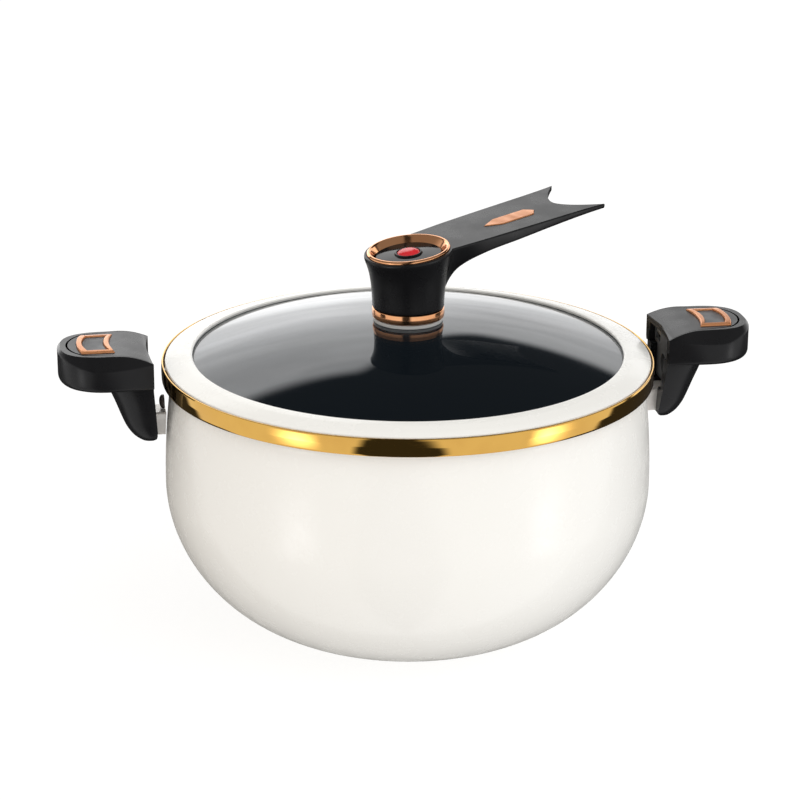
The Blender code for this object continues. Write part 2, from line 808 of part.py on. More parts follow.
def build_bracket(tag, side):
    """A folded channel welded to the pot, running into the handle's leg."""
    low, high = RIM - 39.0, RIM - 25.6
    section = [
        (-8.4, low),
        (-8.4, high - 0.8),
        (-7.6, high),
        (7.6, high),
        (8.4, high - 0.8),
        (8.4, low),
        (6.6, low),
        (6.6, high - 1.8),
        (-6.6, high - 1.8),
        (-6.6, low),
    ]
    loops = []
    for level, x in enumerate((142.0, 159.1)):
        loops.append([])
        for y, z in section:
            near = math.sqrt((143.9 + 0.06 * (RIM - 24.0 - z)) ** 2 - y * y)
            loops[level].append((near if x < 150.0 else x, y, z))
    loft(f"bracket_{tag}", [sided(loop, side) for loop in loops], BRACKET)
    build_buffer(tag, side, high)
    x = 156.0 * side
    screw = [
        (0.0, LEG_BOTTOM - 0.9),
        (1.9, LEG_BOTTOM - 0.9),
        (2.3, LEG_BOTTOM - 0.4),
        (2.3, LEG_BOTTOM + 1.0),
        (1.6, LEG_BOTTOM + 1.0),
        (1.6, high - 2.2),
        (0.0, high - 2.2),
    ]
    revolve(f"handle_screw_{tag}", screw, STEEL, 12, at=(x, 0.0))
    for i, (r, z0, z1) in enumerate(((2.6, -3.0, 1.3), (1.9, 1.0, 4.0))):
        cutter = revolve(
            f"screw_cutter_{tag}_{i}",
            [(0.0, LEG_BOTTOM + z0), (r, LEG_BOTTOM + z0), (r, LEG_BOTTOM + z1), (0.0, LEG_BOTTOM + z1)],
            None,
            12,
            at=(x, 0.0),
        )
        combine(bpy.data.objects[f"handle_{tag}"], cutter)


def build_buffer(tag, side, floor):
    """A soft round-nosed stop on the bracket, between the pot's neck and the leg."""
    z = floor + GAP + 3.9
    loops = []
    for x, r in ((144.4, 3.9), (145.6, 3.9), (146.7, 3.2), (147.4, 1.9)):
        loop = []
        for k in range(10):
            a = 2.0 * math.pi * k / 10
            loop.append((x, 1.3 * r * math.cos(a), z + r * math.sin(a)))
        loops.append(sided(loop, side))
    loft(f"rim_buffer_{tag}", loops, RUBBER)


def main():
    for obj in list(bpy.data.objects):
        bpy.data.objects.remove(obj)
    build_pot()
    build_lid_rings()
    build_glass()
    build_lid_stack()
    build_knob()
    build_button()
    for tag, side in (("left", -1), ("right", 1)):
        build_handle(tag, side)
        build_bracket(tag, side)


main()
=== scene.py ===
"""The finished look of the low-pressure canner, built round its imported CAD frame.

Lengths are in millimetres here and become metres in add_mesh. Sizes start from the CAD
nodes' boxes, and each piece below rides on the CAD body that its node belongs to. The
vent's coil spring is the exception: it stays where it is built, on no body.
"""

import math

import bmesh
import bpy
from mathutils import Matrix, Vector


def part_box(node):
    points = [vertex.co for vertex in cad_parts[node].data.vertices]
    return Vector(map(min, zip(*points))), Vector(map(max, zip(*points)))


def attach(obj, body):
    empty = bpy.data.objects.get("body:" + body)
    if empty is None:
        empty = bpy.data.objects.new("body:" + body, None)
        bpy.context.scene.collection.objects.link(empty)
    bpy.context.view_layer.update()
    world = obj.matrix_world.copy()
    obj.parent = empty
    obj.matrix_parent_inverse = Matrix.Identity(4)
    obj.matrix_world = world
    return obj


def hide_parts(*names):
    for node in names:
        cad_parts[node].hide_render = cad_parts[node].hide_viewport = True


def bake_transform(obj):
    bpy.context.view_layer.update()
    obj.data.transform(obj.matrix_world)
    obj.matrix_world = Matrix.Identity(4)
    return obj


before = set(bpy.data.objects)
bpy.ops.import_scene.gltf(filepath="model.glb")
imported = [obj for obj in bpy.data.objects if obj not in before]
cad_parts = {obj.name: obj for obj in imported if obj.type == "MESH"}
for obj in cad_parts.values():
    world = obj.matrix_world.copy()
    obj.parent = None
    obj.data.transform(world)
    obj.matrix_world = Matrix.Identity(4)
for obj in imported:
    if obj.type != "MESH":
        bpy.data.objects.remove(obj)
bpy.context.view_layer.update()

MM = 0.001
MM_PER_M = 1000.0


def high(node, axis):
    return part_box(node)[1][axis] * MM_PER_M


def low(node, axis):
    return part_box(node)[0][axis] * MM_PER_M


RIM = high("lid_band", 2)
BAND_R = high("lid_band", 0)
BELLY_R = high("pot_body", 0)
FOOT = low("pot_body", 2)
FLANGE_TOP = high("pot_body", 2)
BELLY_Z = RIM - 74.6
BASE_R = 52.7
NECK_R = BELLY_R - 4.4
NECK_Z = RIM - 12.0
FLANGE_R = BAND_R - 2.3
WALL = 2.5
CROWN = high("glass_dome", 2)
BALL_R = 402.0
WINDOW_R = 127.0
GLASS_EDGE_R = 131.2
GLASS_THICK = 4.0
HOLE_R = 7.2

ARM_TURN = math.radians(25.5)
ARM_RISE = 0.1175
KNOB_PLANE = RIM + 65.9
KNOB_TOP = RIM + 64.4
KNOB_FOOT = high("knob_collar", 2) + 0.3
ARM_END = 126.0

GRIP_IN_X = 151.4
GRIP_IN_W = 27.5
GRIP_IN_R = 153.8
GRIP_OUT_X = high("handle_right", 0)
GRIP_WIDE_X = 176.0
GRIP_WIDE_W = high("handle_right", 1)
GRIP_BOTTOM = RIM - 5.0
PLATEAU = RIM + 15.2
GRIP_IN_TOP = RIM + 10.4
COVER_FLOOR = RIM + 8.8
LEG_BOTTOM = low("handle_right", 2)
LEG_SCREW_X = 156.0
POCKET_IN_X = 138.0
BRACKET_DROPS = (-39.0, -25.6)
COVER_CORNER_W = 26.2
COVER_ARC_X = 175.0
COVER_ARC_R = 24.3
POCKET_ARC_GAP = 1.2
TRIM_IN_X = 172.9
TRIM_OUT_X = 191.6
TRIM_W = 16.6
TRIM_SWELL = 2.6
TONGUE_SCREW_X = 179.4
ABOVE_ALL = RIM + 30.0
GAP = 0.3
SHARP_DEGREES = 35.0

CAMERA_TURN = math.radians(9.0)
CAMERA_RISE = math.radians(19.19)
CAMERA_ROLL = math.radians(0.22)
CAMERA_AWAY = 1.55
AIM_LEFT = 4.6
AIM_Z = RIM - 28.0
LENS = 117.35
SENSOR = 36.0
FLOOR_HALF = 6.0
FLOOR_Z = -0.0002
WHITE = (1.0, 1.0, 1.0)
WARM_WHITE = (1.0, 0.955, 0.9)
SOFT_LEVEL = 0.92
SOFT_TOWARD = 0.2
SOFT_MOST = 1.005


# ---- materials


class Nodes:
    """Short calls for the nodes of one material or world."""

    def __init__(self, tree):
        self.tree = tree
        self.coord = tree.nodes.new("ShaderNodeTexCoord")

    def add(self, kind, **values):
        node = self.tree.nodes.new("ShaderNode" + kind)
        for key, value in values.items():
            setattr(node, key, value)
        return node

    def link(self, start, end):
        self.tree.links.new(start, end)

    def noise(self, scale, detail=3.0, stretch=(1.0, 1.0, 1.0), source="Object"):
        mapping = self.add("Mapping")
        mapping.inputs["Scale"].default_value = stretch
        self.link(self.coord.outputs[source], mapping.inputs["Vector"])
        noise = self.add("TexNoise")
        noise.inputs["Scale"].default_value = scale
        noise.inputs["Detail"].default_value = detail
        self.link(mapping.outputs["Vector"], noise.inputs["Vector"])
        return noise.outputs["Fac"]

    def span(self, value, start, end, smooth=True, ends=(0.3, 0.7)):
        node = self.add("MapRange")
        node.interpolation_type = "SMOOTHSTEP" if smooth else "LINEAR"
        self.link(value, node.inputs["Value"])
        node.inputs["From Min"].default_value = ends[0]
        node.inputs["From Max"].default_value = ends[1]
        node.inputs["To Min"].default_value = start
        node.inputs["To Max"].default_value = end
        return node.outputs["Result"]

    def math(self, operation, first, second=None):
        node = self.add("Math", operation=operation)
        for socket, value in zip(node.inputs, (first, second)):
            if isinstance(value, (int, float)):
                socket.default_value = value
            elif value is not None:
                self.link(value, socket)
        return node.outputs["Value"]

    def plus(self, first, second):
        return self.math("ADD", first, second)

    def minus(self, first, second):
        return self.math("SUBTRACT", first, second)

    def times(self, first, second):
        return self.math("MULTIPLY", first, second)

    def mix(self, factor, first, second):
        node = self.add("Mix", data_type="RGBA")
        self.link(factor, node.inputs["Factor"])
        for socket, value in ((node.inputs[6], first), (node.inputs[7], second)):
            if isinstance(value, tuple):
                socket.default_value = (*value, 1.0)
            else:
                self.link(value, socket)
        return node.outputs[2]

    def bump(self, height, strength, depth_mm):
        node = self.add("Bump")
        node.inputs["Strength"].default_value = strength
        node.inputs["Distance"].default_value = depth_mm / MM_PER_M
        self.link(height, node.inputs["Height"])
        return node.outputs["Normal"]


def start_material(name, **sockets):
    """A material, its shader with the given sockets set, and the calls for its nodes."""
    made = bpy.data.materials.new(name)
    made.use_nodes = True
    shader = made.node_tree.nodes["Principled BSDF"]
    for key, value in sockets.items():
        shader.inputs[key.replace("_", " ")].default_value = value
    return made, shader, Nodes(made.node_tree)


def connect(n, shader, colour, rough, normal):
    n.link(colour, shader.inputs["Base Color"])
    n.link(rough, shader.inputs["Roughness"])
    n.link(normal, shader.inputs["Normal"])


def enamel(name, light, dark, peel=0.02):
    """Fired enamel: a faint mottling, a fine orange-peel surface and a clear gloss."""
    made, shader, n = start_material(
        name, Coat_Weight=0.12, Coat_Roughness=0.06, Specular_IOR_Level=0.3
    )
    colour = n.mix(n.span(n.noise(22.0, 4.0), 0.0, 1.0), light, dark)
    rough = n.span(n.noise(90.0), 0.2, 0.3)
    connect(n, shader, colour, rough, n.bump(n.noise(900.0, 2.0), peel, 0.05))
    return made


def metal(name, light, dark, rough, lines=(1.0, 1.0, 40.0), bump=0.03, metallic=1.0):
    """Polished or brushed metal, with fine lines along one axis and faint handling marks."""
    made, shader, n = start_material(name, Metallic=metallic)
    marks = n.noise(60.0, 5.0)
    colour = n.mix(n.span(marks, 0.0, 1.0), light, dark)
    drawn = n.noise(30.0, 4.0, lines)
    worn = n.times(n.span(drawn, 0.75, 1.25), n.span(marks, *rough))
    connect(n, shader, colour, worn, n.bump(drawn, bump, 0.05))
    return made


def phenolic(name, light, dark, rough=(0.36, 0.5), grain=1400.0, bump=0.12, level=0.5):
    """Moulded plastic: fine spark-eroded grain and slightly polished patches."""
    made, shader, n = start_material(name, Specular_IOR_Level=level)
    colour = n.mix(n.span(n.noise(35.0, 4.0), 0.0, 1.0), light, dark)
    polish = n.span(n.noise(55.0, 5.0), *rough)
    connect(n, shader, colour, polish, n.bump(n.noise(grain, 2.0), bump, 0.06))
    return made


def smoked_glass(name):
    """Dark clear glass with faint smears, and a faint blue glow of its own: a painted reflection
    of the pale surroundings.
    """
    made, shader, n = start_material(
        name,
        Transmission_Weight=1.0,
        IOR=1.52,
        # The emission is painted light: a faint blue glow that stands in for the reflection of
        # the pale surroundings.
        Emission_Color=(0.5, 0.75, 1.0, 1.0),
        Emission_Strength=0.0065,
    )
    smears = n.noise(14.0, 5.0, (1.0, 2.6, 1.0))
    colour = n.mix(n.span(smears, 0.0, 1.0), (0.07, 0.083, 0.095), (0.05, 0.058, 0.066))
    rough = n.span(smears, 0.012, 0.05)
    connect(n, shader, colour, rough, n.bump(n.noise(9.0, 1.0), 0.02, 0.3))
    return made


CREAM = enamel("cream_enamel", (0.95, 0.935, 0.895), (0.94, 0.925, 0.882))
RING = enamel("ring_enamel", (0.95, 0.943, 0.905), (0.942, 0.935, 0.896), peel=0.015)
COATING = phenolic("inner_coating", (0.022, 0.022, 0.024), (0.035, 0.034, 0.036),
                   rough=(0.3, 0.42), grain=500.0)
GOLD = metal("gold_band", (0.74, 0.435, 0.105), (0.7, 0.4, 0.095), rough=(0.035, 0.08))
ROSE = metal("rose_gold", (0.88, 0.43, 0.21), (0.82, 0.38, 0.18), rough=(0.1, 0.16))
SATIN_ROSE = metal("satin_rose", (0.8, 0.345, 0.15), (0.74, 0.31, 0.13), rough=(0.3, 0.38),
                   metallic=0.55)
STEEL = metal("stainless_steel", (0.62, 0.62, 0.61), (0.55, 0.55, 0.54), rough=(0.2, 0.34))
BRACKET = metal("bracket_steel", (0.88, 0.85, 0.81), (0.8, 0.76, 0.72), rough=(0.36, 0.48),
                lines=(2.0, 30.0, 30.0), bump=0.04, metallic=0.5)
BLACK = phenolic("black_phenolic", (0.0075, 0.0075, 0.0085), (0.0105, 0.0105, 0.0115),
                 rough=(0.25, 0.33), level=0.2)
GREY = phenolic("grey_nylon", (0.085, 0.087, 0.09), (0.065, 0.067, 0.07), rough=(0.45, 0.6))
SLATE = phenolic("slate_pad", (0.075, 0.08, 0.085), (0.055, 0.058, 0.062), grain=700.0, bump=0.4)
SILICONE = phenolic("grey_silicone", (0.58, 0.58, 0.56), (0.5, 0.5, 0.485), rough=(0.4, 0.55))
RUBBER = phenolic("brown_rubber", (0.1, 0.08, 0.07), (0.07, 0.055, 0.05), rough=(0.45, 0.62))
GLOSS = phenolic("gloss_black", (0.006, 0.006, 0.007), (0.009, 0.009, 0.01),
                 rough=(0.05, 0.1), bump=0.02, level=0.14)
RED = phenolic("red_button", (0.78, 0.025, 0.035), (0.66, 0.018, 0.026),
               rough=(0.2, 0.3), bump=0.04)
GLASS = smoked_glass("smoked_glass")


# ---- mesh helpers


def shade(mesh, angle=SHARP_DEGREES):
    mesh.shade_smooth()
    mesh.set_sharp_from_angle(angle=math.radians(angle))


def add_mesh(name, bm, *finishes, angle=SHARP_DEGREES):
    """Turns the bmesh, whose points are in millimetres, into an object in metres."""
    bmesh.ops.remove_doubles(bm, verts=bm.verts, dist=1e-4)
    bmesh.ops.recalc_face_normals(bm, faces=bm.faces)
    bmesh.ops.scale(bm, vec=(MM, MM, MM), verts=bm.verts)
    mesh = bpy.data.meshes.new(name)
    bm.to_mesh(mesh)
    bm.free()
    shade(mesh, angle)
    for finish in finishes:
        mesh.materials.append(finish)
    obj = bpy.data.objects.new(name, mesh)
    bpy.context.scene.collection.objects.link(obj)
    return obj


def angles(count):
    return [2.0 * math.pi * i / count for i in range(count)]


def fillet(points, steps=4, closed=False):
    """Rounds the corners of a plane outline of (u, v) or (u, v, radius) points."""
    made = []
    last = len(points) - 1
    for i, point in enumerate(points):
        if len(point) < 3 or (not closed and i in (0, last)):
            made.append(point[:2])
            continue
        here = Vector(point[:2])
        before = Vector(points[i - 1][:2]) - here
        after = Vector(points[(i + 1) % len(points)][:2]) - here
        reach = point[2] / math.tan(0.5 * before.angle(after))
        reach = min(reach, 0.48 * before.length, 0.48 * after.length)
        start = here + before.normalized() * reach
        end = here + after.normalized() * reach
        for k in range(steps + 1):
            t = k / steps
            made.append(tuple(start * (1 - t) ** 2 + here * (2 * t * (1 - t)) + end * t * t))
    return made


def flow(rows, steps):
    """A smooth run of rows of numbers through the given rows."""
    made = []
    for i in range(len(rows) - 1):
        p0, p1 = rows[max(i - 1, 0)], rows[i]
        p2, p3 = rows[i + 1], rows[min(i + 2, len(rows) - 1)]
        for k in range(steps):
            t = k / steps
            row = []
            for a, b, c, d in zip(p0, p1, p2, p3):
                bend = (2 * a - 5 * b + 4 * c - d) * t * t + (3 * b - a - 3 * c + d) * t**3
                row.append(0.5 * (2 * b + (c - a) * t + bend))
            made.append(tuple(row))
    made.append(rows[-1])
    return made


def lean(point, weight=1.0):
    """Lifts a point towards the rest arm, the way the knob's sloping top does."""
    x, y, z = point
    return (x, y, z + weight * ARM_RISE * (x * math.cos(ARM_TURN) + y * math.sin(ARM_TURN)))


def bridge(bm, first, second, index=0):
    """Joins two closed rows of points with faces. A row of one point is a pole."""
    if len(first) == 1 and len(second) == 1:
        return
    count = max(len(first), len(second))
    for i in range(count):
        j = (i + 1) % count
        corners = [first[i % len(first)], first[j % len(first)]]
        corners += [second[j % len(second)], second[i % len(second)]]
        face = bm.faces.new(list(dict.fromkeys(corners)))
        face.material_index = index


def revolve(name, profile, *finishes, steps=96, tilt=0.0, at=(0.0, 0.0), second=(0, 0)):
    """Turns a closed profile of (radius, height) about the vertical through at.

    Profile segments from second[0] up to second[1] take the second finish.
    """
    bm = bmesh.new()
    rows = []
    for r, z in profile:
        row = []
        for a in angles(steps if r > 1e-6 else 1):
            x, y, height = lean((r * math.cos(a), r * math.sin(a), z), tilt)
            row.append(bm.verts.new((x + at[0], y + at[1], height)))
        rows.append(row)
    for i, row in enumerate(rows):
        index = 1 if second[0] <= i < second[1] else 0
        bridge(bm, row, rows[(i + 1) % len(rows)], index)
    return add_mesh(name, bm, *finishes)


def loft(name, loops, *finishes, ring=False, angle=SHARP_DEGREES):
    """Skins closed loops of points. A ring joins its last loop to its first."""
    bm = bmesh.new()
    rows = [[bm.verts.new(p) for p in loop] for loop in loops]
    for first, second in zip(rows, rows[1:]):
        bridge(bm, first, second)
    if ring:
        bridge(bm, rows[-1], rows[0])
    else:
        bm.faces.new(rows[0])
        bm.faces.new(rows[-1])
    return add_mesh(name, bm, *finishes, angle=angle)


def prism(name, outline, z0, z1, *finishes):
    return loft(name, [[(x, y, z) for x, y in outline] for z in (z0, z1)], *finishes)


def block(name, corner, other):
    """A box between two opposite corners."""
    low_x, high_x = sorted((corner[0], other[0]))
    low_y, high_y = sorted((corner[1], other[1]))
    outline = [(low_x, low_y), (high_x, low_y), (high_x, high_y), (low_x, high_y)]
    return prism(name, outline, corner[2], other[2])


def bake(obj):
    """Applies the modifiers for good."""
    graph = bpy.context.evaluated_depsgraph_get()
    mesh = bpy.data.meshes.new_from_object(obj.evaluated_get(graph))
    obj.modifiers.clear()
    obj.data = mesh
    shade(mesh)


def combine(obj, other, operation="DIFFERENCE"):
    """Cuts the other solid from obj, or joins or intersects them, and removes it."""
    modifier = obj.modifiers.new("Cut", "BOOLEAN")
    modifier.operation = operation
    modifier.solver = "EXACT"
    modifier.object = other
    bake(obj)
    bpy.data.objects.remove(other)


def sided(points, side):
    """Puts handle-frame points on the right (side 1) or, turned half round, the left (-1)."""
    return [(p[0] * side, p[1] * side, *p[2:]) for p in points]


def place(obj, body, slot, *nodes):
    """Hangs the piece on its body and lets it stand for its CAD nodes."""
    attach(obj, body)
    if nodes:
        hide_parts(*nodes)
    return obj


# ---- pot


def pot_outer(count_low=44, count_high=14):
    """The outside from the foot up to the neck, as (radius, height)."""
    points = []
    for i in range(count_low + 1):
        a = 0.5 * math.pi * i / count_low
        r = BASE_R + (BELLY_R - BASE_R) * math.sin(a) ** 1.047
        points.append((r, BELLY_Z - (BELLY_Z - FOOT) * math.cos(a) ** 1.047))
    for i in range(1, count_high + 1):
        t = i / count_high
        r = BELLY_R - (BELLY_R - NECK_R) * t**2
        points.append((r, BELLY_Z + (NECK_Z - BELLY_Z) * t))
    return points


def inset(points, distance):
    """Moves an outline inwards, square to itself."""
    moved = []
    for i, (r, z) in enumerate(points):
        before = points[max(i - 1, 0)]
        after = points[min(i + 1, len(points) - 1)]
        along = Vector((after[0] - before[0], after[1] - before[1])).normalized()
        moved.append((r - distance * along.y, z + distance * along.x))
    return moved


def build_pot():
    outer = pot_outer()
    inner = inset(outer, WALL)
    rim = [
        outer[-1], (141.2, RIM - 9.0, 2.0), (FLANGE_R, RIM - 7.6, 0.5),
        (FLANGE_R, FLANGE_TOP, 0.9), (138.3, FLANGE_TOP, 1.2),
        (NECK_R - WALL, RIM - 8.0),
    ]
    rim = fillet(rim)[1:]
    profile = [(0.0, FOOT), *outer, *rim, *reversed(inner), (0.0, FOOT + WALL)]
    inside = 1 + len(outer) + len(rim) - 2
    pot = revolve("pot_shell", profile, CREAM, COATING, steps=256, second=(inside, len(profile)))
    place(pot, "pot", "cream_enamel", "pot_body")
    disc = [(0.0, 0.0), (46.0, 0.0), (49.8, 0.0, 0.4), (50.0, 0.9, 0.2), (0.0, 0.9)]
    plate = revolve("foot_plate", fillet(disc), STEEL, steps=128)
    place(plate, "pot", "stainless_steel", "base_plate")


# ---- lid


def glass_height(r, below=0.0):
    """Height of the ball that the glass follows, at a radius and a depth under its top."""
    ball = BALL_R - below
    return CROWN - below - (ball - math.sqrt(ball * ball - r * r))


def crown():
    """The glass's top at the axis, from its height at the edge of the centre hole."""
    return CROWN + BALL_R - math.sqrt(BALL_R**2 - HOLE_R**2)


def build_lid_rings():
    """The cream ring, its gold band, the gasket on the pot and the seal round the glass."""
    ring = [
        (WINDOW_R, RIM + 3.5, 0.3), (WINDOW_R + 0.9, RIM + 4.2, 0.6),
        (133.0, RIM + 3.5, 8.0), (139.0, RIM + 1.8, 8.0), (142.9, RIM + 0.5, 0.6),
        (143.2, RIM - 0.2, 0.3), (143.2, RIM - 2.6, 0.3), (133.2, RIM - 2.6),
        (133.2, RIM + 1.7), (WINDOW_R, RIM + 2.3),
    ]
    lid = revolve("lid_ring", fillet(ring, 3, True), RING, steps=256)
    place(lid, "lid", "cream_enamel", "lid_frame")
    lip = [
        (144.3, RIM, 0.25), (145.0, RIM, 0.35), (BAND_R - 0.14, RIM - 1.0, 0.6),
        (BAND_R, RIM - 5.2, 8.0), (BAND_R - 0.14, RIM - 9.4, 0.5),
        (145.0, RIM - 10.4, 0.3), (144.5, RIM - 10.4, 0.2), (144.2, RIM - 2.0, 0.6),
        (143.9, RIM - 0.6, 0.2),
    ]
    band = revolve("lid_edge_band", fillet(lip, 3, True), GOLD, steps=256)
    place(band, "lid", "gold_steel", "lid_band")
    gasket = [
        (142.2, RIM - 2.9), (142.2, RIM - 4.9, 0.4), (135.6, RIM - 4.9, 0.5),
        (134.2, RIM - 6.2, 0.3), (133.4, RIM - 5.6, 0.3), (134.6, RIM - 2.9),
    ]
    ring = revolve("lid_gasket_ring", fillet(gasket, 3, True), SILICONE, steps=160)
    place(ring, "lid", "grey_silicone", "lid_gasket")
    seal = [
        (132.9, RIM + 1.3), (132.9, RIM - 5.3, 0.3), (127.8, RIM - 4.0, 0.3),
        (127.8, RIM - 2.9, 0.3), (131.6, RIM - 4.3), (131.6, RIM + 1.5),
    ]
    ring = revolve("glass_seal_ring", fillet(seal, 3, True), SILICONE, steps=160)
    place(ring, "lid", "grey_silicone", "glass_seal")


def build_glass():
    radii = [HOLE_R + (GLASS_EDGE_R - HOLE_R) * (i / 30.0) for i in range(31)]
    lift = crown() - CROWN
    top = [(r, glass_height(r) + lift) for r in radii]
    bottom = [(r, glass_height(r, GLASS_THICK) + lift) for r in reversed(radii)]
    glass = revolve("glass_cover", top + bottom, GLASS, steps=256)
    place(glass, "lid", "smoked_glass", "glass_dome")


def build_lid_stack():
    """The washers, tube, nut and guard that clamp the knob to the glass."""
    top = crown()
    washer = [
        (20.4, top - 0.4, 0.3), (20.4, top + 1.7, 0.4), (HOLE_R, top + 1.7),
        (HOLE_R, top - 0.4),
    ]
    place(revolve("washer_ring", fillet(washer, 4, True), SILICONE), "lid", "grey_silicone",
          "upper_washer")
    foot = KNOB_FOOT - GAP
    collar = [
        (20.4, foot), (21.2, foot - 0.4, 0.4), (21.4, foot - 3.0, 4.0),
        (21.2, foot - 5.4, 0.5), (20.4, foot - 5.8, 0.3), (HOLE_R, foot - 5.8),
        (HOLE_R, foot),
    ]
    place(revolve("collar_ring", fillet(collar, 4, True), ROSE, steps=128), "lid", "rose_gold",
          "knob_collar")
    tube = [(10.0, 40.2), (10.0, 36.8), (6.6, 36.8), (6.6, 8.6), (4.4, 8.6), (4.4, 40.2)]
    tube = revolve("valve_pipe", [(r, RIM + z) for r, z in tube], STEEL, steps=48)
    place(tube, "lid", "stainless_steel", "valve_tube")
    under = top - (GLASS_THICK + GAP)
    pad = [(15.0, under - 0.3), (15.0, under - 2.2, 0.5), (7.0, under - 2.2), (7.0, under)]
    place(revolve("under_washer", fillet(pad, 3, True), SILICONE), "lid", "grey_silicone",
          "lower_washer")
    build_nut(under - 7.2, under - 2.6)
    build_guard(under - 2.7)


def build_nut(z0, z1, flats=10.8, corners=12.9, bore=6.95, count=72):
    """A hexagon nut with chamfered corners."""
    loops = []
    for reach, z in ((0.94, z0), (1, z0 + 0.5), (1, z1 - 0.5), (0.94, z1), (0, z1), (0, z0)):
        loop = []
        for a in angles(count):
            off = (a + math.pi / 6.0) % (math.pi / 3.0) - math.pi / 6.0
            r = min(flats / math.cos(off), corners * reach) if reach else bore
            loop.append((r * math.cos(a), r * math.sin(a), z))
        loops.append(loop)
    nut = loft("hex_nut", loops, STEEL, ring=True, angle=25.0)
    place(nut, "lid", "stainless_steel", "valve_nut")


def build_guard(top):
    """The cup that keeps food away from the valve, with six slots in its wall."""
    base = RIM - 3.5
    cup = [
        (14.8, top, 0.3), (14.8, base, 1.4), (3.0, base), (3.0, base + 1.2),
        (13.4, base + 1.2, 0.8), (13.4, top, 0.3),
    ]
    guard = revolve("guard_cup", fillet(cup, 4, True), STEEL, steps=72)
    for i in range(3):
        a = math.pi * (i + 0.5) / 3.0
        along = Vector((math.cos(a), math.sin(a)))
        across = Vector((-along.y, along.x)) * 1.8
        corners = []
        for s, w in ((20, 1), (-20, 1), (-20, -1), (20, -1)):
            corners.append(tuple(along * s + across * w))
        slot = prism("slot_cutter", corners, base + 3.5, base + 9.0)
        combine(guard, slot)
    place(guard, "lid", "stainless_steel", "valve_guard")


# ---- knob


def turned(s, w):
    """Plan position of a point s along the rest arm and w across it."""
    cos, sin = math.cos(ARM_TURN), math.sin(ARM_TURN)
    return (s * cos + w * sin, s * sin - w * cos)


def circle(radius, height, weight, count=112):
    """A level ring at weight 0, a ring that slopes like the knob's top at weight 1."""
    loop = []
    for a in angles(count):
        loop.append(lean((radius * math.cos(a), radius * math.sin(a), height), weight))
    return loop


def drum_loops():
    """Rings up the knob's flared wall, as (height, radius, slope)."""
    wall = [
        (31.6, 21.1, 0.0),
        (40.6, 21.6, 0.0),
        (49.8, 22.7, 0.25),
        (56.4, 24.1, 0.65),
        (60.9, 25.4, 0.95),
        (62.8, 25.9, 1.0),
    ]
    edge = fillet([(25.9, 62.8), (26.0, 64.4, 1.3), (24.4, 64.4)], 6)
    foot = fillet([(19.8, 30.9), (21.0, 30.9, 0.7), (21.1, 31.6)], 4)
    rings = [(z, r, 0.0) for r, z in foot[:-1]] + flow(wall, 4)
    rings += [(z, r, 1.0) for r, z in edge[1:]]
    return [circle(r, RIM + z, weight) for z, r, weight in rings]


def arm_loops():
    """Sections of the rest arm from inside the drum to its tips.

    Each has its distance, the half widths of its top and foot, and its depth.
    """
    stations = [
        (6.0, 17.2, 22.2, 12.0, 12.5, 30.0),
        (12.0, 17.8, 22.8, 12.0, 12.5, 29.5),
        (17.0, 18.3, 23.3, 11.5, 12.0, 27.0),
        (21.0, 18.6, 23.6, 11.6, 12.6, 21.0),
        (25.0, 18.9, 23.9, 13.2, 15.0, 15.8),
        (31.0, 19.3, 24.3, 15.8, 18.8, 12.0),
        (39.0, 19.8, 24.8, 18.0, 22.2, 9.6),
        (50.0, 20.3, 25.2, 19.3, 24.2, 8.0),
        (66.0, 21.0, 25.7, 20.5, 25.2, 6.9),
        (86.0, 21.8, 26.2, 21.3, 25.7, 5.4),
        (106.0, 22.6, 26.7, 22.1, 26.2, 4.1),
        (118.0, 23.5, 27.3, 23.0, 26.8, 3.3),
        (ARM_END, 24.7, 28.1, 24.2, 27.6, 2.7),
    ]
    loops = []
    for s, near, far, near_foot, far_foot, t in flow(stations, 4):
        top = KNOB_TOP - 0.08 + ARM_RISE * s
        under = min(1.8, 0.42 * t)
        section = [
            (-far, top, 0.8), (near, top, 0.8), (near_foot, top - t, under),
            (-far_foot, top - t, under),
        ]
        section = fillet(section, 5, True)
        loops.append([(*turned(s, across), z) for across, z in section])
    return loops


def notch_cutter():
    """The bay in the arm's end that leaves its two tips, deepest near the arm's middle."""
    far, near = -31.0, 27.6
    points = []
    for i in range(49):
        w = far + 58.6 * i / 48.0
        depth = 19.0 * (1.0 - min(abs(w + 1.7) / 25.9, 1.0) ** 1.7)
        points.append(turned(ARM_END + 0.1 - depth, w))
    points += [turned(ARM_END + 20.0, near), turned(ARM_END + 20.0, far)]
    return prism("notch_cutter", points, RIM + 45.0, RIM + 110.0)


def cavity_cutter():
    """The hollow for the valve, with a seat for the bezel that slopes like the top."""
    rings = [
        (6.9, 28.0, 0.0),
        (6.9, 36.5, 0.0),
        (17.6, 36.5, 0.0),
        (17.6, 50.4, 0.0),
        (20.3, 52.4, 0.3),
        (20.3, 60.4, 1.0),
        (24.55, 60.4, 1.0),
        (24.55, 76.4, 1.0),
    ]
    return loft("cavity_cutter", [circle(r, RIM + z, k, 96) for r, z, k in rings])


def inlay_outline(grow, middle=0.6):
    """Plan of the arm's sliver along and across the arm: a bar with pointed ends."""
    tip = 54.0 - 1.5 * grow
    end = 91.0 + 1.5 * grow
    w = 5.6 + grow
    return [
        (tip, middle),
        (64.0, -w + middle),
        (86.5, -w + middle),
        (end, middle),
        (86.5, w + middle),
        (64.0, w + middle),
    ]


def slab_on_arm(name, outlines, levels, *finishes):
    """A solid on arm-frame outlines, its faces parallel to the arm's top."""
    loops = []
    for points, level in zip(outlines, levels):
        loops.append([(*turned(s, w), KNOB_TOP + level + ARM_RISE * s) for s, w in points])
    return loft(name, loops, *finishes)


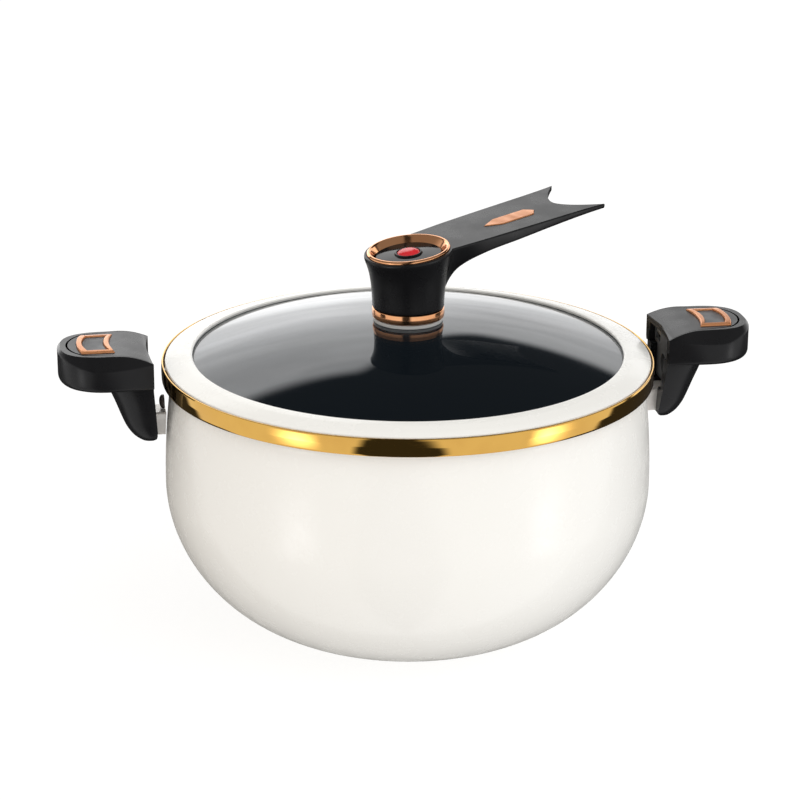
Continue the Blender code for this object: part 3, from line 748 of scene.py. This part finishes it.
def flatten_top(obj):
    """Brings the drum's and the arm's tops into one plane where they meet."""
    bm = bmesh.new()
    bm.from_mesh(obj.data)
    for vert in bm.verts:
        x, y, z = vert.co * MM_PER_M
        plane = lean((x, y, KNOB_TOP))[2]
        if -0.16 < z - plane < 0.02:
            vert.co.z = plane / MM_PER_M
    bmesh.ops.dissolve_degenerate(bm, dist=2e-6, edges=bm.edges)
    bm.to_mesh(obj.data)
    bm.free()
    shade(obj.data)


def build_knob():
    knob = loft("knob_shell", drum_loops(), BLACK)
    arm = loft("arm_blank", arm_loops(), BLACK)
    combine(arm, notch_cutter())
    combine(knob, arm, "UNION")
    flatten_top(knob)
    combine(knob, cavity_cutter())
    grown = inlay_outline(0.25)
    combine(knob, slab_on_arm("inlay_cutter", (grown, grown), (-1.2, 4.0)))
    place(knob, "lid", "black_phenolic", "knob_handle")
    edges = [inlay_outline(0.0), inlay_outline(0.0), inlay_outline(-0.45)]
    mark = slab_on_arm("arm_mark", edges, (-0.9, 0.15, 0.5), SATIN_ROSE)
    place(mark, "lid", "rose_gold", "arm_inlay")
    bezel = [
        (23.6, KNOB_PLANE, 0.25), (24.3, KNOB_PLANE - 0.7, 0.4),
        (24.3, KNOB_PLANE - 5.2), (19.8, KNOB_PLANE - 5.2),
        (19.8, KNOB_PLANE - 4.0, 0.4), (22.1, KNOB_PLANE - 0.7, 1.2),
        (22.8, KNOB_PLANE, 0.3),
    ]
    ring = revolve("bezel_ring", fillet(bezel, 5, True), ROSE, steps=128, tilt=1.0)
    place(ring, "lid", "rose_gold", "knob_bezel")


def build_button():
    """The black button with its stem, plug and spring, and the red dome in its middle."""
    top = KNOB_PLANE - 3.4
    cap = [
        (19.3, top, 0.6), (19.3, top - 3.0), (2.4, top - 3.0), (2.4, top - 0.6),
        (6.95, top - 0.6, 0.1), (6.95, top + 1.1, 0.3), (7.8, top + 1.1, 0.5),
        (8.2, top, 0.4),
    ]
    cap = revolve("vent_button_cap", fillet(cap, 4, True), GLOSS, steps=112, tilt=1.0)
    place(cap, "vent_button", "gloss_black", "vent_cap")
    stem = [(4.0, RIM + 58.4), (4.0, RIM + 8.0), (2.3, RIM + 8.0), (2.3, RIM + 58.4)]
    stem = revolve("vent_rod", stem, STEEL, steps=40)
    place(stem, "vent_button", "stainless_steel", "vent_stem")
    plug = [
        (4.6, RIM + 7.7), (6.3, RIM + 6.6, 0.4), (6.3, RIM + 4.6, 0.4),
        (2.3, RIM + 4.6), (2.3, RIM + 7.7),
    ]
    plug = revolve("vent_bung", fillet(plug, 3, True), SILICONE, steps=48)
    place(plug, "vent_button", "grey_silicone", "vent_plug")
    base = KNOB_PLANE - 3.7
    dome = [(0.0, RIM + 6.0), (1.8, RIM + 6.0), (1.8, base), (6.6, base)]
    for i in range(13):
        a = 0.5 * math.pi * i / 12.0
        dome.append((6.8 * math.cos(a) ** 0.7, base + 0.3 + 2.5 * math.sin(a) ** 1.1))
    dome[-1] = (0.0, base + 2.8)
    dome = revolve("indicator_dome", dome, RED, steps=64, tilt=1.0)
    place(dome, "indicator", "red_button", "pressure_indicator")
    build_spring(RIM + 41.0, RIM + 57.6)


def build_spring(base, top, turns=4, mean=7.4, wire=0.65, around=12, per_turn=40):
    """The coil under the button, left where it is built and hung on no body."""
    loops = []
    count = turns * per_turn
    for i in range(count + 1):
        a = 2.0 * math.pi * i / per_turn
        z = base + wire + (top - base - 2.0 * wire) * i / count
        loop = []
        for b in angles(around):
            r = mean + wire * math.cos(b)
            loop.append((r * math.cos(a), r * math.sin(a), z + wire * math.sin(b)))
        loops.append(loop)
    coil = loft("vent_coil", loops, STEEL)
    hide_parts("vent_spring")
    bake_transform(coil)


# ---- side handles


def oval_side(out_x, in_w, wide_w, power=2.3, straight=10, count=26):
    """Half a handle's plan outline, from its inner corner out to its middle."""
    points = []
    for i in range(straight):
        t = i / straight
        if wide_w < in_w:
            w = wide_w + (in_w - wide_w) * (1.0 - t) ** 1.25
        else:
            w = in_w + (wide_w - in_w) * math.sin(0.5 * math.pi * t)
        points.append((GRIP_IN_X + (GRIP_WIDE_X - GRIP_IN_X) * t, w))
    for i in range(count + 1):
        a = 0.5 * math.pi * (1.0 - i / count)
        x = GRIP_WIDE_X + (out_x - GRIP_WIDE_X) * max(math.cos(a), 0.0) ** (2.0 / power)
        points.append((x, wide_w * math.sin(a) ** (2.0 / power)))
    points[-1] = (out_x, 0.0)
    return points


def inner_arc(half_width, count=18):
    """Points on the arc that faces the pot, from -y to +y, without its ends."""
    points = []
    for i in range(1, count):
        y = half_width * (2.0 * i / count - 1.0)
        points.append((math.sqrt(GRIP_IN_R**2 - y * y), y))
    return points


def closed_loop(half, heights, side, half_width):
    """Mirrors half an outline and closes it with the inner arc."""
    near = [(x, y, z) for (x, y), z in zip(half, heights)]
    far = [(x, -y, z) for x, y, z in reversed(near[:-1])]
    arc = [(x, y, heights[0]) for x, y in inner_arc(half_width)]
    return sided(near + far + arc, side)


def ramp(x):
    """Height of the handle's top: level over the trim, falling towards the pot."""
    t = min(max((x - GRIP_IN_X) / 19.0, 0.0), 1.0)
    return GRIP_IN_TOP + (PLATEAU - GRIP_IN_TOP) * t * (2.0 - t)


def wall_edge_heights(half, straight=10, count=26):
    """Height of the edge between the side wall and the shoulder, per outline point.

    It dips along the side and rises again round the grip's outer end.
    """
    heights = []
    for i, (x, _) in enumerate(half):
        along = 4.0 * i / straight if i < straight else 4.0 + 9.0 * (i - straight) / count
        dip = math.sin(math.pi * min(along / 7.0, 1.0) * 0.5)
        rise = max((x - GRIP_WIDE_X - 9.0) / (GRIP_OUT_X - GRIP_WIDE_X - 9.0), 0.0)
        heights.append(GRIP_IN_TOP - 0.4 - 1.9 * dip + 5.4 * rise)
    return heights


def rounded_edge(wall, crease, reach=1.3, steps=4):
    """Rows that turn from the upright wall into the sloping shoulder."""
    rows = [[] for _ in range(steps + 1)]
    for corner, goal in zip(wall, crease):
        corner, goal = Vector(corner), Vector(goal)
        start = corner - Vector((0.0, 0.0, min(reach, 0.9)))
        run = goal - corner
        end = corner + run * min(reach / max(run.length, 1e-6), 0.5)
        for k in range(steps + 1):
            t = k / steps
            point = start * (1 - t) ** 2 + corner * (2 * t * (1 - t)) + end * t * t
            rows[k].append(tuple(point))
    return rows


def grip_solid(name, side, finish):
    """The grip without its pocket: rounded underside, wall, sloping shoulders, plateau."""
    rows = []
    for k in range(7):
        a = 0.5 * math.pi * k / 6.0
        inward, height = 4.0 * (1.0 - math.sin(a)), 4.0 * (1.0 - math.cos(a))
        half = oval_side(GRIP_OUT_X - inward, GRIP_IN_W - 0.4 * inward, GRIP_WIDE_W - inward)
        level = [GRIP_BOTTOM + height] * len(half)
        rows.append(closed_loop(half, level, side, GRIP_IN_W - 0.4 * inward))
    wall = oval_side(GRIP_OUT_X, GRIP_IN_W, GRIP_WIDE_W)
    wall = closed_loop(wall, wall_edge_heights(wall), side, GRIP_IN_W)
    half = oval_side(GRIP_OUT_X - 1.8, GRIP_IN_W - 0.5, 24.2, power=2.7)
    crease = closed_loop(half, [ramp(x) for x, _ in half], side, GRIP_IN_W - 0.5)
    rows += rounded_edge(wall, crease)
    rows.append(crease)
    bm = bmesh.new()
    made = [[bm.verts.new(p) for p in row] for row in rows]
    for first, second in zip(made, made[1:]):
        bridge(bm, first, second)
    bm.faces.new(made[0])
    cap_strips(bm, made[-1], len(half))
    return add_mesh(name, bm, finish)


def cap_strips(bm, loop, half_count):
    """Closes the top with strips from one side to the other, so that it keeps its slope."""
    near = loop[:half_count]
    far = loop[half_count - 1 : 2 * half_count - 1][::-1]
    arc = loop[2 * half_count - 1 :]
    bm.faces.new([near[1], near[0], *reversed(arc), far[0], far[1]])
    for i in range(1, half_count - 2):
        bm.faces.new((near[i], near[i + 1], far[i + 1], far[i]))
    bm.faces.new((near[-2], near[-1], far[-2]))


def cover_outline(grow, inner_x=None):
    """Plan of the sliding cover. With inner_x it runs straight in to there instead."""
    corner = COVER_CORNER_W + grow
    sides = [(GRIP_IN_X + 0.1, corner), (162.0, 24.3 + grow), (172.0, 22.8 + grow)]
    arc = []
    radius = COVER_ARC_R + (POCKET_ARC_GAP if grow else 0.0)
    for i in range(37):
        a = math.radians(51.0) * (1.0 - i / 18.0)
        arc.append((COVER_ARC_X + radius * math.cos(a), radius * math.sin(a)))
    far = [(x, -y) for x, y in reversed(sides)]
    if inner_x is None:
        return sides + arc + far + inner_arc(COVER_CORNER_W)
    return [(inner_x, corner)] + sides + arc + far + [(inner_x, -corner)]


def leg_loops(side):
    """Sections of the leg below the grip, from inside the grip down to its toe.

    Each has its height from the rim, its shift towards the pot, its depth and half width.
    """
    levels = [
        (2.0, 0.0, 26.6, 24.5),
        (-6.0, 0.0, 25.4, 24.2),
        (-13.0, 0.5, 22.8, 22.8),
        (-20.0, 1.0, 20.0, 20.8),
        (-27.0, 1.5, 17.4, 18.8),
        (-33.0, 1.9, 14.9, 17.0),
        (-37.6, 2.0, 12.0, 15.0),
        (-40.2, 1.4, 9.4, 13.2),
        (-41.6, -0.6, 7.0, 11.4),
    ]
    loops = []
    for drop, lean_in, depth, w in flow(levels, 3):
        inner = GRIP_IN_X + 0.2 - lean_in
        loop = [(inner, w, RIM + drop)]
        for i in range(33):
            a = math.pi * i / 32.0
            x = inner + 1.0 + (depth + lean_in) * math.sin(a) ** 0.85
            y = w * math.copysign(abs(math.cos(a)) ** 0.75, math.cos(a))
            loop.append((x, y, RIM + drop))
        loop.append((inner, -w, RIM + drop))
        loops.append(sided(loop, side))
    return loops


def build_handle(tag, side):
    """Grip and leg in one, hollowed for the cover, the slide, its screw and the bracket."""
    handle = grip_solid(f"grip_{tag}", side, BLACK)
    combine(handle, loft("leg_blank", leg_loops(side), BLACK), "UNION")
    pocket = sided(cover_outline(GAP, inner_x=POCKET_IN_X), side)
    combine(handle, prism("pocket_cutter", pocket, COVER_FLOOR, ABOVE_ALL))
    prong_room = (POCKET_IN_X, -21.4, RIM - 4.2), (172.0, 21.4, RIM + 6.8)
    slide_room = (165.0, -21.3, RIM - 0.6), (186.5, 21.3, RIM + 6.7)
    screw_slot = (163.7, -2.6, RIM + 6.0), (182.0, 2.6, RIM + 12.0)
    leg_room = (POCKET_IN_X, -15.0, RIM - 24.0), (162.0, 15.0, RIM - 4.0)
    bracket_room = (POCKET_IN_X, -8.8, RIM - 39.5), (159.5, 8.8, RIM - 23.6)
    for corners in (prong_room, slide_room, screw_slot, leg_room, bracket_room):
        combine(handle, block("hollow_cutter", *sided(corners, side)))
    place(handle, "pot", "black_phenolic", f"handle_{tag}")


def build_inner_plate(tag, side):
    """The grey insert in the leg's inner face, with its latch and screw openings."""
    x0, x1 = 155.2, 157.4
    outline = [(-21.0, 6.4, 0.8), (21.0, 6.4, 0.8), (21.0, -3.9, 0.6), (14.6, -3.9, 0.6)]
    outline += [(14.6, -23.6, 0.8), (-14.6, -23.6, 0.8), (-14.6, -3.9, 0.6), (-21.0, -3.9, 0.6)]
    outline = fillet(outline, 4, True)
    loops = []
    for x in (x0, x1):
        loops.append(sided([(x, y, RIM + z) for y, z in outline], side))
    plate = loft(f"insert_plate_{tag}", loops, GREY)
    for y in (-18.9, 7.9):
        corners = sided([(x0 - 3, y, RIM - 1.6), (x1 + 3, y + 11.0, RIM + 5.3)], side)
        combine(plate, block("window_cutter", *corners))
    ring = []
    for a in angles(48):
        ring.append((5.4 * math.cos(a), RIM - 12.5 + 6.2 * math.sin(a)))
    loops = [sided([(x, y, z) for y, z in ring], side) for x in (x0 - 3, x1 + 3)]
    combine(plate, loft("hole_cutter", loops))
    place(plate, "pot", "grey_nylon", f"handle_insert_{tag}")


def build_cover(tag, side):
    """The sliding cover, cut from the same solid as the grip so that they are flush."""
    cover = grip_solid(f"slide_cover_{tag}", side, BLACK)
    keep = sided(cover_outline(0.0), side)
    combine(cover, prism("cover_keeper", keep, COVER_FLOOR + GAP, ABOVE_ALL), "INTERSECT")
    seat = sided(frame_outline(GAP), side)
    combine(cover, prism("seat_cutter", seat, PLATEAU - 1.1, ABOVE_ALL))
    place(cover, f"latch_{tag}", "black_phenolic", f"latch_cover_{tag}")


def frame_outline(grow, count=18):
    """Plan of the trim frame: two arcs that bulge away from the pot, straight sides."""
    w = TRIM_W + grow
    outer = []
    inner = []
    for i in range(count + 1):
        y = w * (1.0 - 2.0 * i / count)
        swell = TRIM_SWELL * (1.0 - (y / w) ** 2)
        outer.append((TRIM_OUT_X + grow + swell, y))
        inner.append((TRIM_IN_X - grow + swell, -y))
    return outer + inner


def build_trim(tag, side):
    """The frame, whose side bars fold down a little, and the pad inside it.

    A level is how far it stands outside the frame's outline, and its height.
    """
    levels = [(0.0, -0.8), (0.0, 0.8), (-0.15, 1.2), (-0.5, 1.45), (-0.9, 1.5)]
    levels += [(-2.5, 1.5), (-2.9, 1.4), (-3.1, 1.0), (-3.1, -0.8)]
    loops = []
    fold_from, fold_run, fold_depth = 10.0, 6.6, 0.7
    for grow, z in levels:
        loop = []
        for x, y in frame_outline(grow):
            fold = max(abs(y) - fold_from, 0.0) / fold_run if z > 0.0 else 0.0
            loop.append((x, y, PLATEAU + z - fold_depth * fold * fold))
        loops.append(sided(loop, side))
    trim = loft(f"slide_trim_{tag}", loops, SATIN_ROSE, ring=True)
    place(trim, f"latch_{tag}", "rose_gold", f"latch_trim_{tag}")
    edge = [(-3.3, -0.8), (-3.3, 0.1), (-3.6, 0.35)]
    loops = []
    for grow, z in edge:
        loops.append(sided([(x, y, PLATEAU + z) for x, y in frame_outline(grow)], side))
    pad = loft(f"slide_pad_{tag}", loops, SLATE)
    place(pad, f"latch_{tag}", "grey_nylon", f"latch_pad_{tag}")


def build_tongue(tag, side):
    """The steel slide under the cover: two prongs on a bar, held by one screw."""
    near = [(183.5, 18.5, 1.5), (155.5, 18.5, 1.2), (155.5, 8.3, 1.2), (175.5, 8.3, 1.5)]
    far = [(x, -y, radius) for x, y, radius in reversed(near)]
    outline = [far[-1], *near, *far[:-1]]
    outline = sided(fillet(outline, 5, True), side)
    tongue = prism(f"slide_tongue_{tag}", outline, RIM + 2.2, RIM + 4.6, STEEL)
    x = TONGUE_SCREW_X * side
    hole = [(0.0, RIM), (2.2, RIM), (2.2, RIM + 8), (0.0, RIM + 8)]
    combine(tongue, revolve("tongue_hole", hole, steps=40, at=(x, 0.0)))
    place(tongue, f"latch_{tag}", "stainless_steel", f"latch_tongue_{tag}")
    screw = [(0.0, 0.2), (3.9, 0.2, 0.6), (3.9, 1.9, 0.2), (1.9, 1.9), (1.9, 8.7), (0.0, 8.7)]
    screw = [(r, RIM + z) for r, z in fillet(screw)]
    screw = revolve(f"slide_screw_{tag}", screw, STEEL, steps=40, at=(x, 0.0))
    cut_cross(screw, x, RIM - 1.0, RIM + 0.9)
    place(screw, f"latch_{tag}", "stainless_steel", f"latch_screw_{tag}")


def cut_cross(screw, x, z0, z1, arm=2.1, half=0.35):
    """A cross recess in the head of a screw that is driven from below."""
    combine(screw, block("cross_cutter", (x - arm, -half, z0), (x + arm, half, z1)))
    combine(screw, block("cross_cutter", (x - half, -arm, z0), (x + half, arm, z1)))


def build_bracket(tag, side):
    """A folded channel welded to the pot, running into the leg, and the leg's screw."""
    z0, z1 = BRACKET_DROPS
    section = [
        (-8.4, z0, 0.2), (-8.4, z1, 1.6), (8.4, z1, 1.6), (8.4, z0, 0.2),
        (6.6, z0, 0.2), (6.6, z1 - 1.8, 0.5), (-6.6, z1 - 1.8, 0.5),
        (-6.6, z0, 0.2),
    ]
    loops = [[], []]
    for y, z in fillet(section, 4, True):
        near = math.sqrt((143.9 - 0.06 * (24.0 + z)) ** 2 - y * y)
        loops[0].append((near, y, RIM + z))
        loops[1].append((159.1, y, RIM + z))
    bracket = loft(f"channel_{tag}", [sided(loop, side) for loop in loops], BRACKET)
    place(bracket, "pot", "bracket_steel", f"bracket_{tag}")
    x = LEG_SCREW_X * side
    screw = [(0.0, -0.9), (2.3, -0.9, 0.5), (2.3, 1.0, 0.2), (1.6, 1.0), (1.6, 13.8), (0.0, 13.8)]
    screw = [(r, LEG_BOTTOM + z) for r, z in fillet(screw)]
    screw = revolve(f"leg_screw_{tag}", screw, STEEL, steps=40, at=(x, 0.0))
    cut_cross(screw, x, LEG_BOTTOM - 2.0, LEG_BOTTOM - 0.1, 1.5)
    place(screw, "pot", "stainless_steel", f"handle_screw_{tag}")
    grip = bpy.data.objects[f"grip_{tag}"]
    for r, low_z, high_z in ((2.6, -3.0, 1.3), (1.9, 1.0, 4.0)):
        bore = [(0.0, low_z), (r, low_z), (r, high_z), (0.0, high_z)]
        bore = [(radius, LEG_BOTTOM + z) for radius, z in bore]
        combine(grip, revolve("screw_cutter", bore, steps=40, at=(x, 0.0)))


def build_buffer(tag, side):
    """A soft round-nosed stop on the bracket, between the pot's neck and the leg."""
    radius = 3.9
    z = RIM + BRACKET_DROPS[1] + GAP + radius
    nose = []
    for k in range(6, 0, -1):
        a = 0.5 * math.pi * k / 6.0
        nose.append((147.4 - 1.9 * (1.0 - math.cos(a)), radius * math.sin(a)))
    loops = []
    for x, r in [(144.4, 3.7), (144.7, radius)] + nose:
        loop = []
        for a in angles(40):
            loop.append((x, 1.3 * r * math.cos(a), z + r * math.sin(a)))
        loops.append(sided(loop, side))
    stop = loft(f"stop_{tag}", loops, RUBBER)
    place(stop, "pot", "brown_rubber", f"rim_buffer_{tag}")


def build_side(tag, side):
    build_handle(tag, side)
    build_inner_plate(tag, side)
    build_cover(tag, side)
    build_trim(tag, side)
    build_tongue(tag, side)
    build_bracket(tag, side)
    build_buffer(tag, side)


# ---- stage


def build_floor():
    """A pale floor that is seen and shaded, but doesn't colour the object."""
    bm = bmesh.new()
    for x, y in ((-1, -1), (1, -1), (1, 1), (-1, 1)):
        bm.verts.new((x * FLOOR_HALF, y * FLOOR_HALF, FLOOR_Z))
    bm.faces.new(bm.verts)
    mesh = bpy.data.meshes.new("floor")
    bm.to_mesh(mesh)
    bm.free()
    made, shader, n = start_material(
        "floor",
        Roughness=0.9,
        Specular_IOR_Level=0.0,
        Emission_Color=(*WHITE, 1.0),
        Emission_Strength=0.64,
    )
    colour = n.mix(n.span(n.noise(3.0), 0.0, 1.0), (0.46, 0.46, 0.46), (0.455, 0.455, 0.455))
    n.link(colour, shader.inputs["Base Color"])
    mesh.materials.append(made)
    floor = bpy.data.objects.new("floor", mesh)
    floor.visible_glossy = False
    floor.visible_diffuse = False
    bpy.context.scene.collection.objects.link(floor)


def build_camera():
    """The camera at the photo's angle, with the photo's slight roll."""
    cos, sin = math.cos(CAMERA_TURN), math.sin(CAMERA_TURN)
    level = math.cos(CAMERA_RISE)
    target = Vector((-AIM_LEFT * cos, AIM_LEFT * sin, AIM_Z)) * MM
    ahead = Vector((sin * level, cos * level, -math.sin(CAMERA_RISE)))
    right = Vector((cos, -sin, 0.0))
    up = right.cross(ahead)
    right, up = (
        right * math.cos(CAMERA_ROLL) + up * math.sin(CAMERA_ROLL),
        up * math.cos(CAMERA_ROLL) - right * math.sin(CAMERA_ROLL),
    )
    data = bpy.data.cameras.new("camera")
    data.lens = LENS
    data.sensor_width = SENSOR
    camera = bpy.data.objects.new("camera", data)
    basis = Matrix((right, up, -ahead)).transposed()
    camera.matrix_world = Matrix.Translation(target - ahead * CAMERA_AWAY) @ basis.to_4x4()
    bpy.context.scene.collection.objects.link(camera)
    bpy.context.scene.camera = camera


def build_key_light(spot, aim, size, power):
    """A faint panel from the front right, which reflections don't show."""
    data = bpy.data.lights.new("key", "AREA")
    data.shape = "RECTANGLE"
    data.size, data.size_y = size
    data.energy = power
    light = bpy.data.objects.new("key", data)
    light.location = spot
    away = Vector(spot) - Vector(aim)
    light.rotation_euler = away.to_track_quat("Z", "Y").to_euler()
    light.visible_glossy = False
    light.visible_camera = False
    bpy.context.scene.collection.objects.link(light)


def softboxes(n, facing, across, z):
    """What glossy surfaces see: large panels at the back and the sides, else near black.

    A direction has its plan angle as facing, 1 towards the photo's side and -1 away from it,
    and across, -1 to the left and 1 to the right. Its height is z.
    """
    right = n.span(across, 0.0, 1.0, ends=(-0.12, 0.12))
    below = n.math("MAXIMUM", n.math("MINIMUM", n.plus(z, 0.33), 0.15), -0.15)

    # Both side panels, with a narrow dark gap in front of the pot and a wide one behind it.
    inner = n.minus(facing, n.times(below, 0.17))
    inner = n.minus(inner, n.times(right, 0.045))
    outer = n.plus(facing, n.times(below, 1.32))
    outer = n.minus(n.plus(outer, 0.14), n.times(right, 0.24))
    sides = n.times(
        n.span(inner, 1.0, 0.0, ends=(0.905, 0.94)),
        n.span(outer, 0.0, 1.0, ends=(-0.36, -0.28)),
    )
    sides = n.times(sides, n.span(z, 1.0, 0.25, ends=(0.1, 0.5)))

    # The two bright glints low on the gold band.
    level = n.span(z, 0.0, 1.0, ends=(-0.47, -0.33))
    strip = n.times(level, n.span(z, 1.0, 0.0, ends=(-0.33, -0.18)))
    off_left = n.math("ABSOLUTE", n.plus(across, 0.777))
    off_right = n.math("ABSOLUTE", n.minus(across, 0.914))
    left_strip = n.span(off_left, 1.0, 0.0, ends=(0.0, 0.15))
    right_strip = n.span(off_right, 1.0, 0.0, ends=(0.0, 0.085))
    front = n.span(facing, 0.0, 1.0, ends=(0.0, 0.15))
    peaks = n.times(n.plus(left_strip, right_strip), n.times(strip, front))

    # The tall panel behind, which shows in the glass. It is lower and dimmer on the right.
    top = n.plus(n.times(right, -0.24), 0.63)
    tall = n.times(
        n.span(z, 0.0, 1.0, ends=(-0.19, -0.16)),
        n.span(n.minus(z, top), 1.0, 0.0, ends=(-0.03, 0.03)),
    )
    back = n.times(n.span(outer, 1.0, 0.0, ends=(-0.46, -0.38)), tall)
    streaks = n.span(n.noise(2.6, 3.0, (1.0, 1.0, 3.0), "Generated"), 0.8, 1.1)
    back = n.times(n.times(back, streaks), n.plus(n.times(right, -0.65), 2.1))

    shine = n.plus(n.plus(n.times(sides, 0.95), back), 0.04)
    return n.plus(shine, n.times(peaks, 4.2))


def build_world():
    """White for the camera, soft white for diffuse light, and softboxes for reflections."""
    world = bpy.data.worlds.new("studio")
    world.use_nodes = True
    world.cycles.sampling_method = "NONE"
    n = Nodes(world.node_tree)
    n.tree.nodes.remove(n.tree.nodes["Background"])
    parts = n.add("SeparateXYZ")
    n.link(n.coord.outputs["Generated"], parts.inputs["Vector"])
    x, y, z = parts.outputs
    flat = n.math("SQRT", n.minus(1.0001, n.times(z, z)))
    cos, sin = math.cos(CAMERA_TURN), math.sin(CAMERA_TURN)
    toward = n.plus(n.times(x, -sin), n.times(y, -cos))
    right = n.plus(n.times(x, cos), n.times(y, -sin))
    shine = softboxes(n, n.math("DIVIDE", toward, flat), n.math("DIVIDE", right, flat), z)

    tilt = n.times(right, n.span(z, 0.95, 0.06, smooth=False, ends=(-1.0, 0.0)))
    soft = n.plus(tilt, n.times(toward, SOFT_TOWARD))
    soft = n.math("MINIMUM", n.plus(soft, SOFT_LEVEL), SOFT_MOST)
    path = n.add("LightPath")
    glossy = path.outputs["Is Glossy Ray"]
    level = n.plus(n.times(shine, glossy), n.times(soft, n.minus(1.0, glossy)))
    level = n.math("MAXIMUM", level, path.outputs["Is Camera Ray"])

    warm = n.span(right, 1.0, 0.0, ends=(-1.0, 0.4))
    warm = n.times(warm, path.outputs["Is Diffuse Ray"])
    background = n.add("Background")
    n.link(level, background.inputs["Strength"])
    n.link(n.mix(warm, WHITE, WARM_WHITE), background.inputs["Color"])
    output = n.tree.nodes["World Output"]
    n.link(background.outputs["Background"], output.inputs["Surface"])
    bpy.context.scene.world = world


def build_stage():
    build_floor()
    build_camera()
    build_world()
    build_key_light(spot=(0.8, -1.3, 1.3), aim=(0.0, 0.0, 0.12), size=(1.2, 0.9), power=2.0)
    bpy.context.scene.view_settings.view_transform = "Standard"


# ---- all of it


def build():
    build_pot()
    build_lid_rings()
    build_glass()
    build_lid_stack()
    build_knob()
    build_button()
    for tag, side in (("left", -1), ("right", 1)):
        build_side(tag, side)
    build_stage()


build()
